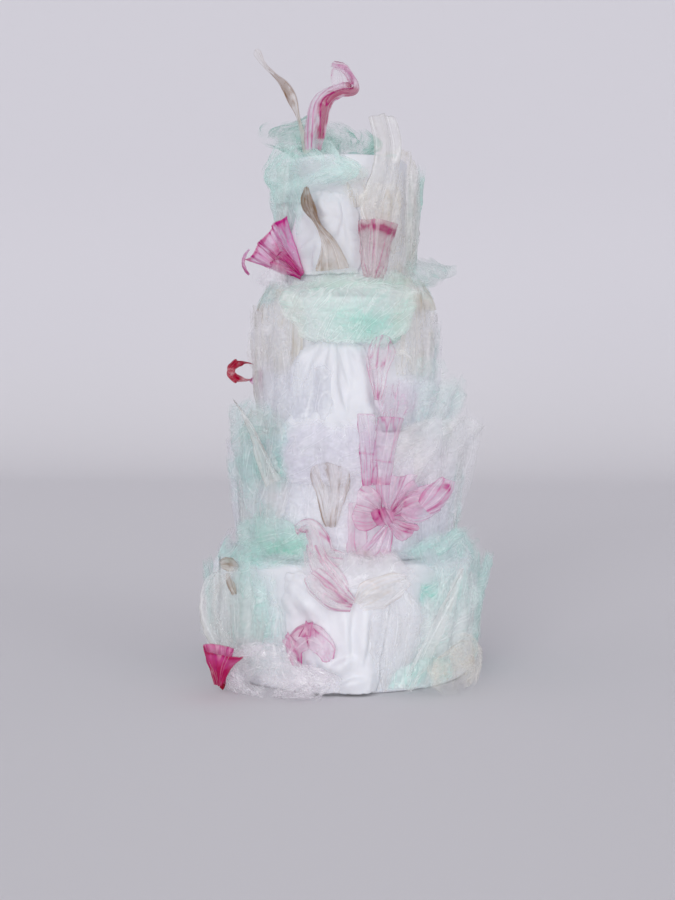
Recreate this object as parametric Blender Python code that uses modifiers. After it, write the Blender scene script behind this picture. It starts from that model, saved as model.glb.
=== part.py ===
"""A wedding cake of four round fondant tiers, dressed with draped fondant and sheets of tinted wafer film.

The cake stands on the origin with +Z up, and its best side faces -Y.
The tables are in millimetres and degrees, read from the front: x to the right, z up from the base,
and out, which is the distance out from the side of the tier that carries the piece.
"""

import math
import random
from typing import NamedTuple

import bmesh
import bpy
import numpy as np

MM = 0.001

# Tiers: radius, bottom and top.
TIERS = ((122.0, 0.0, 115.0), (100.0, 115.3, 233.0), (81.0, 233.3, 357.0), (57.0, 357.3, 489.0))
TIER_STEPS = 32
TIER_FOOT_CHAMFER = 2.0
TIER_TOP_ROUND = 3.5
TIER_TOP_ROUND_STEPS = 2

# A piece with this tier number stands free on the top tier, and its out is measured forward from the axis.
ON_TOP = 0

# A piece that reaches past this angle from the front leaves the tier's side and stands out sideways.
WIDEST_ANGLE = math.radians(80)

FILM_THICKNESS = 0.9
FONDANT_THICKNESS = 2.6
GAP = 0.5
FLOOR_CLEARANCE = 0.6

# The stack of pieces is measured on a grid of angle and height.
ANGLE_BINS = 180
HEIGHT_BINS = 240
HEIGHT_BIN = 3.0
TRIANGLE_SAMPLES = 7
SETTLING_ROUNDS = 4

# Colour, roughness.
COATINGS = {
    "fondant": ((0.82, 0.83, 0.87), 0.55),
    "mint": ((0.60, 0.82, 0.74), 0.35),
    "clear": ((0.80, 0.80, 0.79), 0.25),
    "cream": ((0.80, 0.77, 0.69), 0.30),
    "beige": ((0.60, 0.50, 0.40), 0.35),
    "pink": ((0.84, 0.52, 0.66), 0.30),
    "magenta": ((0.62, 0.06, 0.30), 0.30),
    "crimson": ((0.50, 0.03, 0.12), 0.30),
    "lilac": ((0.80, 0.74, 0.82), 0.35),
}


class Sheet(NamedTuple):
    """A thin sheet. Its stations run from the root to the tip.

    A sail's station is the left edge's x, z, out and the right edge's x, z, out.
    A ribbon's station is the middle's x, z, out, and the width, the roll and the curl.
    """

    name: str
    coating: str
    tier: int
    form: str
    stations: tuple
    bulge: float = 0.0
    pleats: float = 1.0
    depth: float = 0.0
    root_cut: float = 0.0
    tip_cut: float = 0.0
    turn: float = 0.0
    rigid: bool = False
    cells: tuple = (4, 6)


class Lump(NamedTuple):
    """A crumpled cushion: the middle's x, z, out, and the half sizes along, up and out."""

    name: str
    coating: str
    tier: int
    middle: tuple
    half: tuple
    unevenness: float
    turn: float = 0.0


PIECES = (
    # Top tier, against the side first.
    Sheet(
        "fondant_drape_top", "fondant", 4, "sail",
        (
            (-50, 378, 3, 12, 377, 3),
            (-56, 402, 4, 13, 404, 4),
            (-52, 430, 4, 12, 432, 4),
            (-48, 455, 3, 8, 456, 3),
        ),
        bulge=2, pleats=2.5, depth=2.2, tip_cut=0.06, cells=(6, 5),
    ),
    Sheet(
        "cream_fold_back", "cream", 4, "sail",
        (
            (-42, 375, 3, 46, 376, 3),
            (-47, 420, 6, 49, 424, 6),
            (-42, 468, 6, 46, 480, 7),
            (-32, 506, 8, 30, 518, 8),
        ),
        bulge=3, pleats=3, depth=2.5, turn=130, tip_cut=0.1, cells=(7, 5),
    ),
    Sheet(
        "fondant_drape_back", "fondant", 4, "sail",
        (
            (-42, 374, 3, 46, 374, 3),
            (-48, 410, 4, 49, 412, 4),
            (-44, 445, 4, 44, 440, 4),
            (-36, 476, 3, 38, 470, 3),
        ),
        bulge=2, pleats=2.5, depth=2.0, turn=228, tip_cut=0.08, cells=(7, 5),
    ),
    Sheet(
        "clear_fold_right", "clear", 4, "sail",
        (
            (12, 408, 6, 44, 402, 5),
            (11, 432, 8, 50, 425, 6),
            (19, 462, 7, 50, 465, 6),
            (26, 496, 7, 50, 498, 6),
            (24, 529, 8, 49, 527, 6),
        ),
        bulge=3, pleats=2, depth=2.5, tip_cut=0.08, cells=(5, 6),
    ),
    Sheet(
        "pink_cone", "pink", 4, "ribbon",
        (
            (27, 374, 9, 10, 0, -90),
            (27, 388, 11, 26, 0, -150),
            (28, 408, 13, 44, 0, -170),
            (30, 428, 15, 54, 0, -170),
        ),
        rigid=True, tip_cut=0.1, cells=(5, 5),
    ),
    Lump("mint_floss_top", "mint", 4, (-48, 471, 14), (40, 22, 10), 0.16),
    Sheet(
        "magenta_fan", "magenta", 4, "sail",
        (
            (-45, 377, 6, -40, 381, 6),
            (-64, 379, 13, -45, 403, 11),
            (-80, 380, 22, -53, 422, 17),
            (-93, 376, 32, -59, 437, 21),
        ),
        bulge=4, pleats=3, depth=3, tip_cut=0.14, rigid=True, cells=(6, 6),
    ),
    Sheet(
        "beige_twist", "beige", 4, "ribbon",
        (
            (-17, 380, 5, 27, 0, -30),
            (-20, 402, 6, 14, 10, -90),
            (-28, 421, 7, 8, 50, -120),
            (-36, 440, 8, 11, 10, -110),
            (-37, 457, 9, 3, 0, -60),
        ),
        rigid=True,
    ),
    Sheet(
        "mint_leaf_right", "mint", 4, "ribbon",
        (
            (50, 381, 10, 22, 0, 30),
            (66, 382, 20, 34, 0, 40),
            (86, 385, 36, 32, -15, 50),
            (103, 389, 50, 12, -20, 60),
        ),
        pleats=1.5, depth=2, tip_cut=0.1, cells=(4, 5),
    ),
    # Third tier.
    Sheet(
        "cream_panel_left", "cream", 3, "sail",
        (
            (-77, 286, 3, -40, 284, 3),
            (-79, 320, 5, -38, 320, 3),
            (-79, 358, 4, -38, 356, 2),
        ),
        pleats=2, depth=1.6, cells=(5, 4),
    ),
    Sheet(
        "cream_panel_right", "cream", 3, "sail",
        (
            (42, 284, 3, 79, 284, 4),
            (42, 320, 4, 81, 322, 6),
            (40, 359, 3, 79, 358, 5),
        ),
        pleats=3, depth=1.8, cells=(7, 4),
    ),
    Sheet(
        "clear_panel_back", "clear", 3, "sail",
        (
            (-60, 238, 4, 60, 238, 4),
            (-68, 290, 6, 66, 288, 6),
            (-62, 350, 5, 62, 346, 5),
        ),
        bulge=2, pleats=4, depth=2.5, turn=130, cells=(8, 4),
    ),
    Sheet(
        "cream_panel_back", "cream", 3, "sail",
        (
            (-62, 240, 4, 62, 238, 4),
            (-68, 285, 6, 66, 290, 6),
            (-60, 342, 5, 62, 350, 5),
        ),
        bulge=2, pleats=4, depth=2.5, turn=230, cells=(8, 4),
    ),
    Sheet(
        "fondant_drape_middle", "fondant", 3, "sail",
        (
            (-60, 221, 23, 34, 220, 23),
            (-62, 238, 23, 34, 238, 23),
            (-56, 262, 8, 28, 260, 9),
            (-52, 294, 4, 24, 294, 4),
            (-34, 322, 3, 12, 322, 3),
        ),
        bulge=2, pleats=2.5, depth=2.5, tip_cut=0.1, cells=(6, 8),
    ),
    Sheet(
        "mint_drape_upper", "mint", 3, "sail",
        (
            (-54, 371, -16, 48, 371, -16),
            (-58, 361, 3, 54, 361, 3),
            (-52, 338, 4, 50, 340, 4),
            (-30, 312, 6, 38, 313, 6),
        ),
        pleats=2, depth=1.4, tip_cut=0.12, cells=(7, 6),
    ),
    Sheet(
        "mint_drape_back", "mint", 3, "sail",
        (
            (-46, 371, -16, 48, 371, -16),
            (-56, 361, 3, 56, 361, 3),
            (-50, 336, 5, 50, 332, 5),
            (-36, 304, 7, 30, 300, 7),
        ),
        pleats=2.5, depth=1.6, turn=172, tip_cut=0.12, cells=(7, 6),
    ),
    Sheet(
        "clear_panel_far_left", "clear", 3, "sail",
        (
            (-91, 288, 12, -68, 286, 8),
            (-93, 310, 14, -70, 310, 10),
            (-90, 336, 12, -72, 334, 9),
        ),
        pleats=2, depth=1.5, cells=(4, 4),
    ),
    Sheet(
        "lilac_veil_right", "lilac", 3, "sail",
        (
            (34, 246, 6, 70, 244, 12),
            (34, 266, 8, 76, 268, 14),
            (38, 286, 8, 70, 290, 12),
        ),
        pleats=2, depth=2, tip_cut=0.1, cells=(5, 4),
    ),
    Sheet(
        "pink_edge_curl", "pink", 3, "sail",
        (
            (24, 262, 8, 29, 263, 8),
            (18, 285, 10, 37, 286, 12),
            (16, 304, 12, 45, 306, 14),
            (21, 322, 11, 41, 324, 12),
        ),
        bulge=-4, pleats=1, depth=1.5, tip_cut=0.08, cells=(4, 5),
    ),
    Sheet(
        "crimson_curl", "crimson", 3, "ribbon",
        (
            (-86, 296, 12, 8, 70, 20),
            (-97, 297, 18, 10, 70, 20),
            (-105, 292, 24, 11, 70, 20),
            (-105, 284, 24, 11, 70, 20),
            (-97, 279, 18, 10, 70, 20),
            (-86, 279, 12, 7, 70, 20),
        ),
        rigid=True, cells=(2, 10),
    ),
    Sheet(
        "pink_ruffle_back", "pink", 3, "ribbon",
        (
            (-8, 258, 12, 14, 0, -60),
            (-4, 278, 14, 30, 0, -110),
            (4, 300, 16, 40, 0, -120),
        ),
        pleats=2, depth=1.5, turn=178, rigid=True, cells=(5, 4),
    ),
    # Second tier.
    Sheet(
        "mint_veil_back", "mint", 2, "sail",
        (
            (-74, 117, 6, 72, 117, 6),
            (-80, 170, 9, 76, 166, 9),
            (-62, 236, 14, 70, 228, 14),
        ),
        bulge=3, pleats=4, depth=3, turn=132, tip_cut=0.1, cells=(8, 4),
    ),
    Sheet(
        "clear_veil_back", "clear", 2, "sail",
        (
            (-72, 117, 4, 70, 117, 4),
            (-78, 164, 8, 74, 168, 8),
            (-66, 222, 12, 62, 232, 14),
        ),
        bulge=3, pleats=4, depth=3, turn=228, tip_cut=0.1, cells=(8, 4),
    ),
    Sheet(
        "mint_sail_left", "mint", 2, "sail",
        (
            (-92, 172, 4, -46, 176, 3),
            (-106, 208, 12, -45, 210, 5),
            (-111, 244, 20, -46, 240, 7),
            (-102, 276, 24, -54, 268, 8),
        ),
        bulge=4, pleats=3, depth=3, tip_cut=0.1, cells=(6, 5),
    ),
    Sheet(
        "mint_sail_right", "mint", 2, "sail",
        (
            (52, 236, 8, 92, 226, 10),
            (56, 262, 10, 106, 256, 18),
            (66, 292, 10, 114, 290, 26),
        ),
        bulge=3, pleats=3, depth=3, tip_cut=0.1, cells=(6, 4),
    ),
    Sheet(
        "beige_fan", "beige", 2, "sail",
        (
            (-19, 148, 5, -8, 148, 5),
            (-27, 182, 8, 2, 178, 8),
            (-38, 212, 11, 10, 205, 12),
        ),
        bulge=3, pleats=2, depth=2, tip_cut=0.1, cells=(5, 5),
    ),
    Sheet(
        "white_sail_right", "clear", 2, "sail",
        (
            (30, 186, 5, 88, 172, 6),
            (36, 214, 10, 108, 200, 14),
            (46, 240, 16, 126, 226, 24),
            (58, 262, 24, 137, 244, 38),
        ),
        bulge=4, pleats=3, depth=3, tip_cut=0.06, cells=(6, 5),
    ),
    Sheet(
        "clear_spike_left", "clear", 2, "ribbon",
        (
            (-63, 186, 8, 24, 0, 60),
            (-74, 212, 12, 17, 0, 110),
            (-86, 240, 18, 10, 0, 130),
            (-101, 264, 26, 3, 0, 120),
        ),
        rigid=True, cells=(4, 5),
    ),
    Sheet(
        "pink_tube_left", "pink", 2, "ribbon",
        (
            (20, 186, 7, 16, 0, -60),
            (18, 218, 9, 20, 0, -110),
            (17, 254, 13, 24, 0, -130),
        ),
        rigid=True, cells=(4, 4),
    ),
    Sheet(
        "pink_tube_right", "pink", 2, "ribbon",
        (
            (32, 188, 7, 18, 0, -60),
            (36, 216, 9, 24, 0, -110),
            (42, 251, 13, 26, 0, -130),
        ),
        rigid=True, cells=(4, 4),
    ),
    Sheet(
        "mint_sail_low_left", "mint", 2, "sail",
        (
            (-98, 117, 8, -31, 117, 4),
            (-103, 138, 14, -32, 138, 6),
            (-92, 164, 12, -44, 162, 6),
        ),
        bulge=3, pleats=3, depth=3, tip_cut=0.1, cells=(6, 4),
    ),
    Sheet(
        "pink_strip", "pink", 2, "sail",
        (
            (2, 116.5, 5, 22, 116.5, 5),
            (0, 140, 6, 20, 142, 6),
            (-1, 172, 8, 17, 174, 8),
        ),
        pleats=1, depth=1, cells=(4, 4),
    ),
    Sheet(
        "mint_brim_right", "mint", 2, "sail",
        (
            (34, 117, 4, 96, 117, 18),
            (36, 130, 8, 116, 132, 26),
            (42, 146, 12, 132, 152, 36),
        ),
        bulge=2, pleats=4, depth=3, tip_cut=0.05, cells=(7, 4),
    ),
    Sheet(
        "pink_petal_left", "pink", 2, "sail",
        (
            (35, 156, 10, 35, 163, 10),
            (16, 146, 13, 24, 184, 14),
            (-2, 144, 14, 12, 194, 16),
        ),
        bulge=4, pleats=2, depth=2, tip_cut=0.15, cells=(5, 5),
    ),
    Sheet(
        "pink_petal_right", "pink", 2, "sail",
        (
            (37, 163, 10, 37, 156, 10),
            (50, 188, 16, 56, 152, 14),
            (64, 194, 18, 74, 156, 16),
        ),
        bulge=4, pleats=2, depth=2, tip_cut=0.15, cells=(5, 5),
    ),
    Sheet(
        "magenta_petal_low", "magenta", 2, "sail",
        (
            (38, 157, 16, 34, 153, 16),
            (54, 152, 18, 40, 142, 18),
            (66, 150, 18, 46, 133, 18),
        ),
        bulge=2, pleats=2, depth=1.5, rigid=True, cells=(4, 4),
    ),
    Sheet(
        "pink_petal_lobe", "pink", 2, "ribbon",
        (
            (66, 166, 22, 16, 0, -60),
            (76, 174, 24, 26, 10, -140),
            (85, 184, 26, 24, 20, -170),
            (89, 192, 28, 14, 20, -150),
        ),
        rigid=True, cells=(5, 4),
    ),
    Sheet(
        "pink_rope", "pink", 2, "ribbon",
        (
            (-4, 118, 30, 26, 0, -50),
            (-20, 124, 26, 22, 0, -90),
            (-25, 139, 19, 20, 0, -100),
            (-33, 150, 15, 14, 0, -90),
            (-45, 145, 15, 6, 0, -60),
        ),
        pleats=3, depth=1, rigid=True, cells=(5, 6),
    ),
    Sheet(
        "magenta_fan_back", "magenta", 2, "sail",
        (
            (-6, 150, 12, 2, 150, 12),
            (-20, 170, 17, 12, 174, 17),
            (-38, 188, 24, 20, 200, 24),
        ),
        bulge=4, pleats=3, depth=3, turn=184, tip_cut=0.12, rigid=True, cells=(6, 4),
    ),
    # Bottom tier.
    Sheet(
        "fondant_front", "fondant", 1, "sail",
        (
            (-50, 2, 4, 30, 2, 6),
            (-53, 40, 3, 34, 40, 5),
            (-56, 80, 3, 42, 80, 4),
            (-60, 111, 3, 50, 111, 3),
        ),
        bulge=2, pleats=2.5, depth=1.6, cells=(6, 5),
    ),
    Sheet(
        "fondant_panel_back", "fondant", 1, "sail",
        (
            (-88, 2, 4, 84, 2, 5),
            (-92, 40, 4, 86, 42, 4),
            (-90, 80, 4, 88, 80, 4),
            (-94, 111, 3, 92, 111, 3),
        ),
        bulge=2, pleats=3.5, depth=2.0, turn=232, cells=(8, 4),
    ),
    Sheet(
        "mint_sail_back", "mint", 1, "sail",
        (
            (-88, 4, 6, 86, 3, 6),
            (-96, 50, 8, 92, 46, 7),
            (-94, 92, 9, 90, 90, 7),
            (-84, 126, 10, 82, 122, 10),
        ),
        bulge=3, pleats=4, depth=3, turn=132, cells=(8, 4),
    ),
    Sheet(
        "mint_sheet_left", "mint", 1, "sail",
        (
            (-102, 36, 3, -56, 34, 2),
            (-106, 78, 5, -62, 74, 3),
            (-104, 132, 8, -64, 128, 8),
        ),
        bulge=2, pleats=3, depth=2.5, tip_cut=0.05, cells=(5, 5),
    ),
    Sheet(
        "mint_sail_base_right", "mint", 1, "sail",
        (
            (42, 2, 10, 108, 3, 14),
            (58, 40, 6, 119, 44, 16),
            (62, 80, 5, 124, 82, 18),
            (56, 120, 5, 121, 122, 18),
        ),
        bulge=4, pleats=4, depth=3.5, cells=(8, 5),
    ),
    Sheet(
        "clear_sail_front", "clear", 1, "sail",
        (
            (30, 3, 10, 42, 4, 12),
            (20, 36, 9, 62, 40, 16),
            (20, 72, 9, 69, 74, 18),
            (26, 102, 8, 52, 104, 14),
        ),
        bulge=5, pleats=1.5, depth=2, tip_cut=0.08, cells=(5, 6),
    ),
    Sheet(
        "clear_loop_right", "clear", 1, "ribbon",
        (
            (52, 5, 18, 14, 0, 60),
            (70, 38, 20, 20, 0, 110),
            (88, 76, 22, 18, 0, 130),
            (105, 114, 26, 10, 0, 120),
        ),
        pleats=2, depth=1, rigid=True, cells=(4, 5),
    ),
    Sheet(
        "pink_bow_left", "pink", 1, "ribbon",
        (
            (6, 83, 11, 12, 0, -40),
            (-8, 90, 14, 26, 0, -90),
            (-20, 101, 15, 28, 0, -90),
            (-30, 113, 15, 14, 0, -60),
        ),
        pleats=2, depth=1.2, rigid=True, cells=(5, 5),
    ),
    Sheet(
        "cream_bow_right", "cream", 1, "ribbon",
        (
            (10, 83, 11, 12, 0, -40),
            (22, 92, 14, 30, 0, -80),
            (38, 101, 15, 26, 0, -80),
            (52, 106, 13, 10, 0, -60),
        ),
        pleats=1, depth=1.2, rigid=True, cells=(5, 5),
    ),
    Sheet(
        "clear_loop_left", "clear", 1, "ribbon",
        (
            (-94, 27, 12, 20, 0, 60),
            (-112, 42, 18, 28, 0, 80),
            (-124, 66, 24, 30, 0, 90),
            (-118, 94, 20, 24, 0, 80),
            (-100, 112, 12, 12, 0, 60),
        ),
        pleats=3, depth=1.5, cells=(5, 6),
    ),
    Sheet(
        "pink_arch", "pink", 1, "ribbon",
        (
            (-45, 24, 9, 10, 20, -60),
            (-46, 44, 13, 17, 20, -100),
            (-33, 60, 17, 19, 20, -110),
            (-20, 48, 15, 16, 20, -100),
            (-17, 32, 11, 8, 20, -60),
        ),
        rigid=True, cells=(4, 8),
    ),
    Lump("lilac_floss_base", "lilac", 1, (-68, 23, 20), (46, 23, 11), 0.16),
    Lump("cream_crumple_right", "cream", 1, (101, 27, 30), (22, 22, 8), 0.16),
    Sheet(
        "magenta_funnel", "magenta", 1, "ribbon",
        (
            (-113, 2, 42, 6, 0, -120),
            (-112, 12, 43, 20, 0, -170),
            (-112, 24, 44, 38, 0, -190),
            (-111, 35, 45, 58, 0, -190),
        ),
        rigid=True, cells=(6, 4),
    ),
    # Standing on the top tier.
    Lump("mint_cloud_top", "mint", ON_TOP, (-25, 511, -8), (45, 19.5, 24), 0.12),
    Sheet(
        "beige_spike", "beige", ON_TOP, "ribbon",
        (
            (-37, 493, 29, 12, 0, -60),
            (-41, 515, 30, 9, 30, -110),
            (-46, 536, 30, 10, 40, -120),
            (-53, 552, 30, 17, 10, -90),
            (-70, 571, 30, 6, 30, -110),
            (-87, 590, 30, 8, 0, -50),
        ),
        cells=(3, 9),
    ),
    Sheet(
        "pink_ribbon_top", "pink", ON_TOP, "ribbon",
        (
            (-27, 493, 44, 18, 0, -60),
            (-28, 516, 44, 24, 0, -100),
            (-21, 537, 45, 24, 10, -110),
            (-6, 550, 46, 16, 10, -110),
            (6, 557, 46, 11, 0, -60),
            (5, 568, 46, 9, 0, -40),
            (-3, 577, 46, 8, 0, -30),
            (-15, 579, 46, 4, 0, -20),
        ),
        pleats=2, depth=1, cells=(4, 10),
    ),
)


def spline(points, places):
    """A smooth curve through the rows of points, at places from 0 to 1."""
    points = np.asarray(points, float)
    padded = np.vstack([2 * points[0] - points[1], points, 2 * points[-1] - points[-2]])
    reach = np.clip(places, 0.0, 1.0) * (len(points) - 1)
    first = np.minimum(reach.astype(int), len(points) - 2)
    t = (reach - first)[..., None]
    p0, p1, p2, p3 = (padded[first + k] for k in range(4))
    slope_in = (p2 - p0) / 2
    slope_out = (p3 - p1) / 2
    rise = p2 - p1
    squared = 3 * rise - 2 * slope_in - slope_out
    cubed = slope_in + slope_out - 2 * rise
    return p1 + t * (slope_in + t * (squared + t * cubed))


def unit(vectors):
    return vectors / np.maximum(np.linalg.norm(vectors, axis=-1, keepdims=True), 1e-9)


def along_side(tier, places):
    """Turns x, z, out into the distance round the tier's side, z and out."""
    if tier == ON_TOP:
        return places.copy()
    radius = TIERS[tier - 1][0]
    x, z, out = (places[..., k] for k in range(3))
    reach = np.maximum(radius + out, np.abs(x) / math.sin(WIDEST_ANGLE))
    return np.stack([radius * np.arcsin(x / reach), z, reach - radius], -1)


def round_cake(tier, turn, flat):
    """Turns distance round the side, z and out into x, y, z."""
    s, z, out = (flat[..., k] for k in range(3))
    if tier == ON_TOP:
        return np.stack([s, -out, z], -1)
    radius = TIERS[tier - 1][0]
    angle = s / radius + math.radians(turn)
    return np.stack([(radius + out) * np.sin(angle), -(radius + out) * np.cos(angle), z], -1)


def sheet_places(sheet):
    """The share of the width and of the length at each grid point, with the ends cut to a curve."""
    across, along = sheet.cells
    width = np.linspace(0.0, 1.0, across + 1)[None, :]
    length = np.linspace(0.0, 1.0, along + 1)[:, None]
    edge = (2 * width - 1) ** 2
    start = sheet.root_cut * edge
    spare = max(-sheet.tip_cut, 0.0)
    end = 1.0 - sheet.tip_cut * edge - spare
    return width + 0 * length, start + (end - start) * length


def sail_points(sheet, width, length):
    rows = spline(sheet.stations, length)
    left = along_side(sheet.tier, rows[..., :3])
    right = along_side(sheet.tier, rows[..., 3:])
    points = left + (right - left) * width[..., None]
    normal = unit(np.cross(right - left, np.gradient(points, axis=0)))
    belly = sheet.bulge * 4 * width * (1 - width) * length
    return points + normal * (belly + pleat(sheet, width, length))[..., None]


def ribbon_points(sheet, width, length):
    rows = spline(sheet.stations, length)
    middle = along_side(sheet.tier, rows[..., :3])
    breadth = rows[..., 3]
    roll = np.radians(rows[..., 4])
    curl = np.radians(rows[..., 5])
    forward = unit(np.gradient(middle, axis=0))
    side = unit(np.cross(forward, np.array([0.0, 0.0, 1.0])))
    outward = np.cross(side, forward)
    lateral = side * np.cos(roll)[..., None] + outward * np.sin(roll)[..., None]
    normal = outward * np.cos(roll)[..., None] - side * np.sin(roll)[..., None]
    curl = np.where(np.abs(curl) < 0.02, 0.02, curl)
    bend = breadth / curl
    swing = (width - 0.5) * curl
    sideways = bend * np.sin(swing)
    rise = bend * (2 * np.sin(curl / 2) / curl - np.cos(swing))
    return middle + lateral * sideways[..., None] + normal * (rise + pleat(sheet, width, length))[..., None]


def pleat(sheet, width, length):
    phase = random.Random(sheet.name).uniform(0, 2 * math.pi)
    return sheet.depth * (0.4 + 0.6 * length) * np.sin(2 * math.pi * sheet.pleats * width + phase)


def grid_triangles(rows, columns):
    faces = []
    for i in range(rows - 1):
        for j in range(columns - 1):
            a = i * columns + j
            b = a + 1
            c = b + columns
            d = a + columns
            faces += [(a, b, c), (a, c, d)]
    return faces


def samples_of(points, faces):
    """Points spread over each triangle."""
    steps = range(TRIANGLE_SAMPLES + 1)
    shares = [(i, j, TRIANGLE_SAMPLES - i - j) for i in steps for j in steps if i + j <= TRIANGLE_SAMPLES]
    weights = np.array(shares) / TRIANGLE_SAMPLES
    return np.einsum("wk,tkc->twc", weights, points[np.array(faces)])


def bins_of(samples):
    angle = np.arctan2(samples[..., 0], -samples[..., 1])
    across = ((angle / (2 * math.pi) + 0.5) * ANGLE_BINS).astype(int) % ANGLE_BINS
    up = np.clip((samples[..., 2] / HEIGHT_BIN).astype(int) + 2, 0, HEIGHT_BINS - 1)
    return across, up


def tier_reach(samples, half):
    """The radius of the tier beside each sample, or 0 above the cake."""
    z = samples[..., 2]
    reach = np.zeros(z.shape)
    for radius, bottom, top in TIERS:
        beside = (z > bottom - half - GAP) & (z < top + half + GAP / 2)
        reach = np.where(beside, np.maximum(reach, radius), reach)
    return reach


def spread(reach):
    """Each bin's highest value among itself and its neighbours."""
    wide = np.maximum(reach, np.maximum(np.roll(reach, 1, 0), np.roll(reach, -1, 0)))
    return np.maximum(wide, np.maximum(np.roll(wide, 1, 1), np.roll(wide, -1, 1)))


def shortfall(points, faces, reach, half):
    """How far each triangle has to move out to clear what lies under it."""
    samples = samples_of(points, faces)
    under = np.maximum(tier_reach(samples, half), spread(reach)[bins_of(samples)])
    radius = np.hypot(samples[..., 0], samples[..., 1])
    return np.where(under > 0, under + half + GAP - radius, 0.0).max(axis=1)


def moved_out(points, distance):
    radius = np.hypot(points[:, 0], points[:, 1])
    scale = (radius + distance) / radius
    return points * np.stack([scale, scale, np.ones_like(scale)], 1)


def settle(points, faces, reach, half, rigid):
    """Moves a piece out until it lies over what was put on before it."""
    for _ in range(SETTLING_ROUNDS):
        short = shortfall(points, faces, reach, half)
        if short.max() <= 0:
            break
        lift = np.zeros(len(points))
        if rigid:
            lift += short.max()
        else:
            for corner in range(3):
                np.maximum.at(lift, np.array(faces)[:, corner], short)
        points = moved_out(points, lift)
    return points


def add_to_stack(points, faces, reach, half):
    samples = samples_of(points, faces)
    radius = np.hypot(samples[..., 0], samples[..., 1])
    np.maximum.at(reach, bins_of(samples), radius + half)


def coating_material(name):
    material = bpy.data.materials.get(name)
    if material:
        return material
    colour, roughness = COATINGS[name]
    material = bpy.data.materials.new(name)
    material.use_nodes = True
    shader = material.node_tree.nodes["Principled BSDF"]
    shader.inputs["Base Color"].default_value = (*colour, 1.0)
    shader.inputs["Roughness"].default_value = roughness
    shader.inputs["Metallic"].default_value = 0.0
    material.diffuse_color = (*colour, 1.0)
    return material


def add_object(collection, name, coating, points, faces):
    mesh = bpy.data.meshes.new(name)
    mesh.from_pydata([tuple(p) for p in np.asarray(points) * MM], [], faces)
    mesh.shade_smooth()
    mesh.materials.append(coating_material(coating))
    obj = bpy.data.objects.new(name, mesh)
    collection.objects.link(obj)
    return obj


def add_tier(collection, name, radius, bottom, top):
    """A turned cylinder with a chamfered foot and a rounded top edge."""
    profile = [(0.0, top)]
    for step in range(TIER_TOP_ROUND_STEPS + 1):
        turn = math.pi / 2 * step / TIER_TOP_ROUND_STEPS
        across = radius - TIER_TOP_ROUND * (1 - math.sin(turn))
        profile.append((across, top - TIER_TOP_ROUND * (1 - math.cos(turn))))
    profile += [(radius, bottom + TIER_FOOT_CHAMFER), (radius - TIER_FOOT_CHAMFER, bottom), (0.0, bottom)]
    mesh = bpy.data.meshes.new(name)
    edges = [(i, i + 1) for i in range(len(profile) - 1)]
    mesh.from_pydata([(x * MM, 0.0, z * MM) for x, z in profile], edges, [])
    mesh.materials.append(coating_material("fondant"))
    obj = bpy.data.objects.new(name, mesh)
    collection.objects.link(obj)
    screw = obj.modifiers.new("turned", "SCREW")
    screw.steps = TIER_STEPS
    screw.render_steps = TIER_STEPS
    screw.use_merge_vertices = True
    screw.merge_threshold = 0.00005


def add_sheet(collection, sheet, reach):
    width, length = sheet_places(sheet)
    shape = sail_points if sheet.form == "sail" else ribbon_points
    flat = shape(sheet, width, length)
    points = round_cake(sheet.tier, sheet.turn, flat).reshape(-1, 3)
    faces = grid_triangles(*width.shape)
    thickness = FONDANT_THICKNESS if sheet.coating == "fondant" else FILM_THICKNESS
    if sheet.tier != ON_TOP:
        points = settle(points, faces, reach, thickness / 2, sheet.rigid)
        add_to_stack(points, faces, reach, thickness / 2)
    obj = add_object(collection, sheet.name, sheet.coating, points, faces)
    solidify = obj.modifiers.new("thickness", "SOLIDIFY")
    solidify.thickness = thickness * MM
    solidify.offset = 0.0


def unevenness_of(lump, directions):
    """A smooth uneven factor around 1 for each direction from the middle."""
    chance = random.Random(lump.name)
    total = np.zeros(len(directions))
    for _ in range(6):
        wave = np.array([chance.gauss(0, 3.2) for _ in range(3)])
        total += np.sin(directions @ wave + chance.uniform(0, 2 * math.pi))
    return 1 + lump.unevenness * total / 2


def add_lump(collection, lump, reach):
    shell = bmesh.new()
    bmesh.ops.create_icosphere(shell, subdivisions=3, radius=1.0)
    directions = np.array([vertex.co[:] for vertex in shell.verts])
    faces = [tuple(vertex.index for vertex in face.verts) for face in shell.faces]
    shell.free()
    middle = along_side(lump.tier, np.array(lump.middle, float))
    flat = middle + directions * np.array(lump.half) * unevenness_of(lump, directions)[:, None]
    flat[:, 1] = np.maximum(flat[:, 1], FLOOR_CLEARANCE)
    points = round_cake(lump.tier, lump.turn, flat)
    if lump.tier != ON_TOP:
        points = settle(points, faces, reach, 0.0, True)
        add_to_stack(points, faces, reach, 0.0)
    add_object(collection, lump.name, lump.coating, points, faces)


def build_cake():
    for obj in list(bpy.data.objects):
        bpy.data.objects.remove(obj, do_unlink=True)
    collection = bpy.data.collections.new("wedding_cake")
    bpy.context.scene.collection.children.link(collection)
    for number, (radius, bottom, top) in enumerate(TIERS, 1):
        add_tier(collection, f"tier_{number}", radius, bottom, top)
    reach = np.zeros((ANGLE_BINS, HEIGHT_BINS))
    for piece in PIECES:
        if isinstance(piece, Lump):
            add_lump(collection, piece, reach)
        else:
            add_sheet(collection, piece, reach)


build_cake()
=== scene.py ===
"""The looks of a four-tier wedding cake: smooth fondant tiers under crumpled, see-through wafer film.

Sizes are in millimetres unless a name says otherwise. The tables are read from the front of the cake:
x to the right, z up from the base, and out, the distance out from the side of the tier that carries
the piece. Each fine piece follows the same rules as its CAD node, so it lies where the node lies.
"""

import math
import random
from typing import NamedTuple

import bmesh
import bpy
import numpy as np
from mathutils import Matrix, Vector


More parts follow.
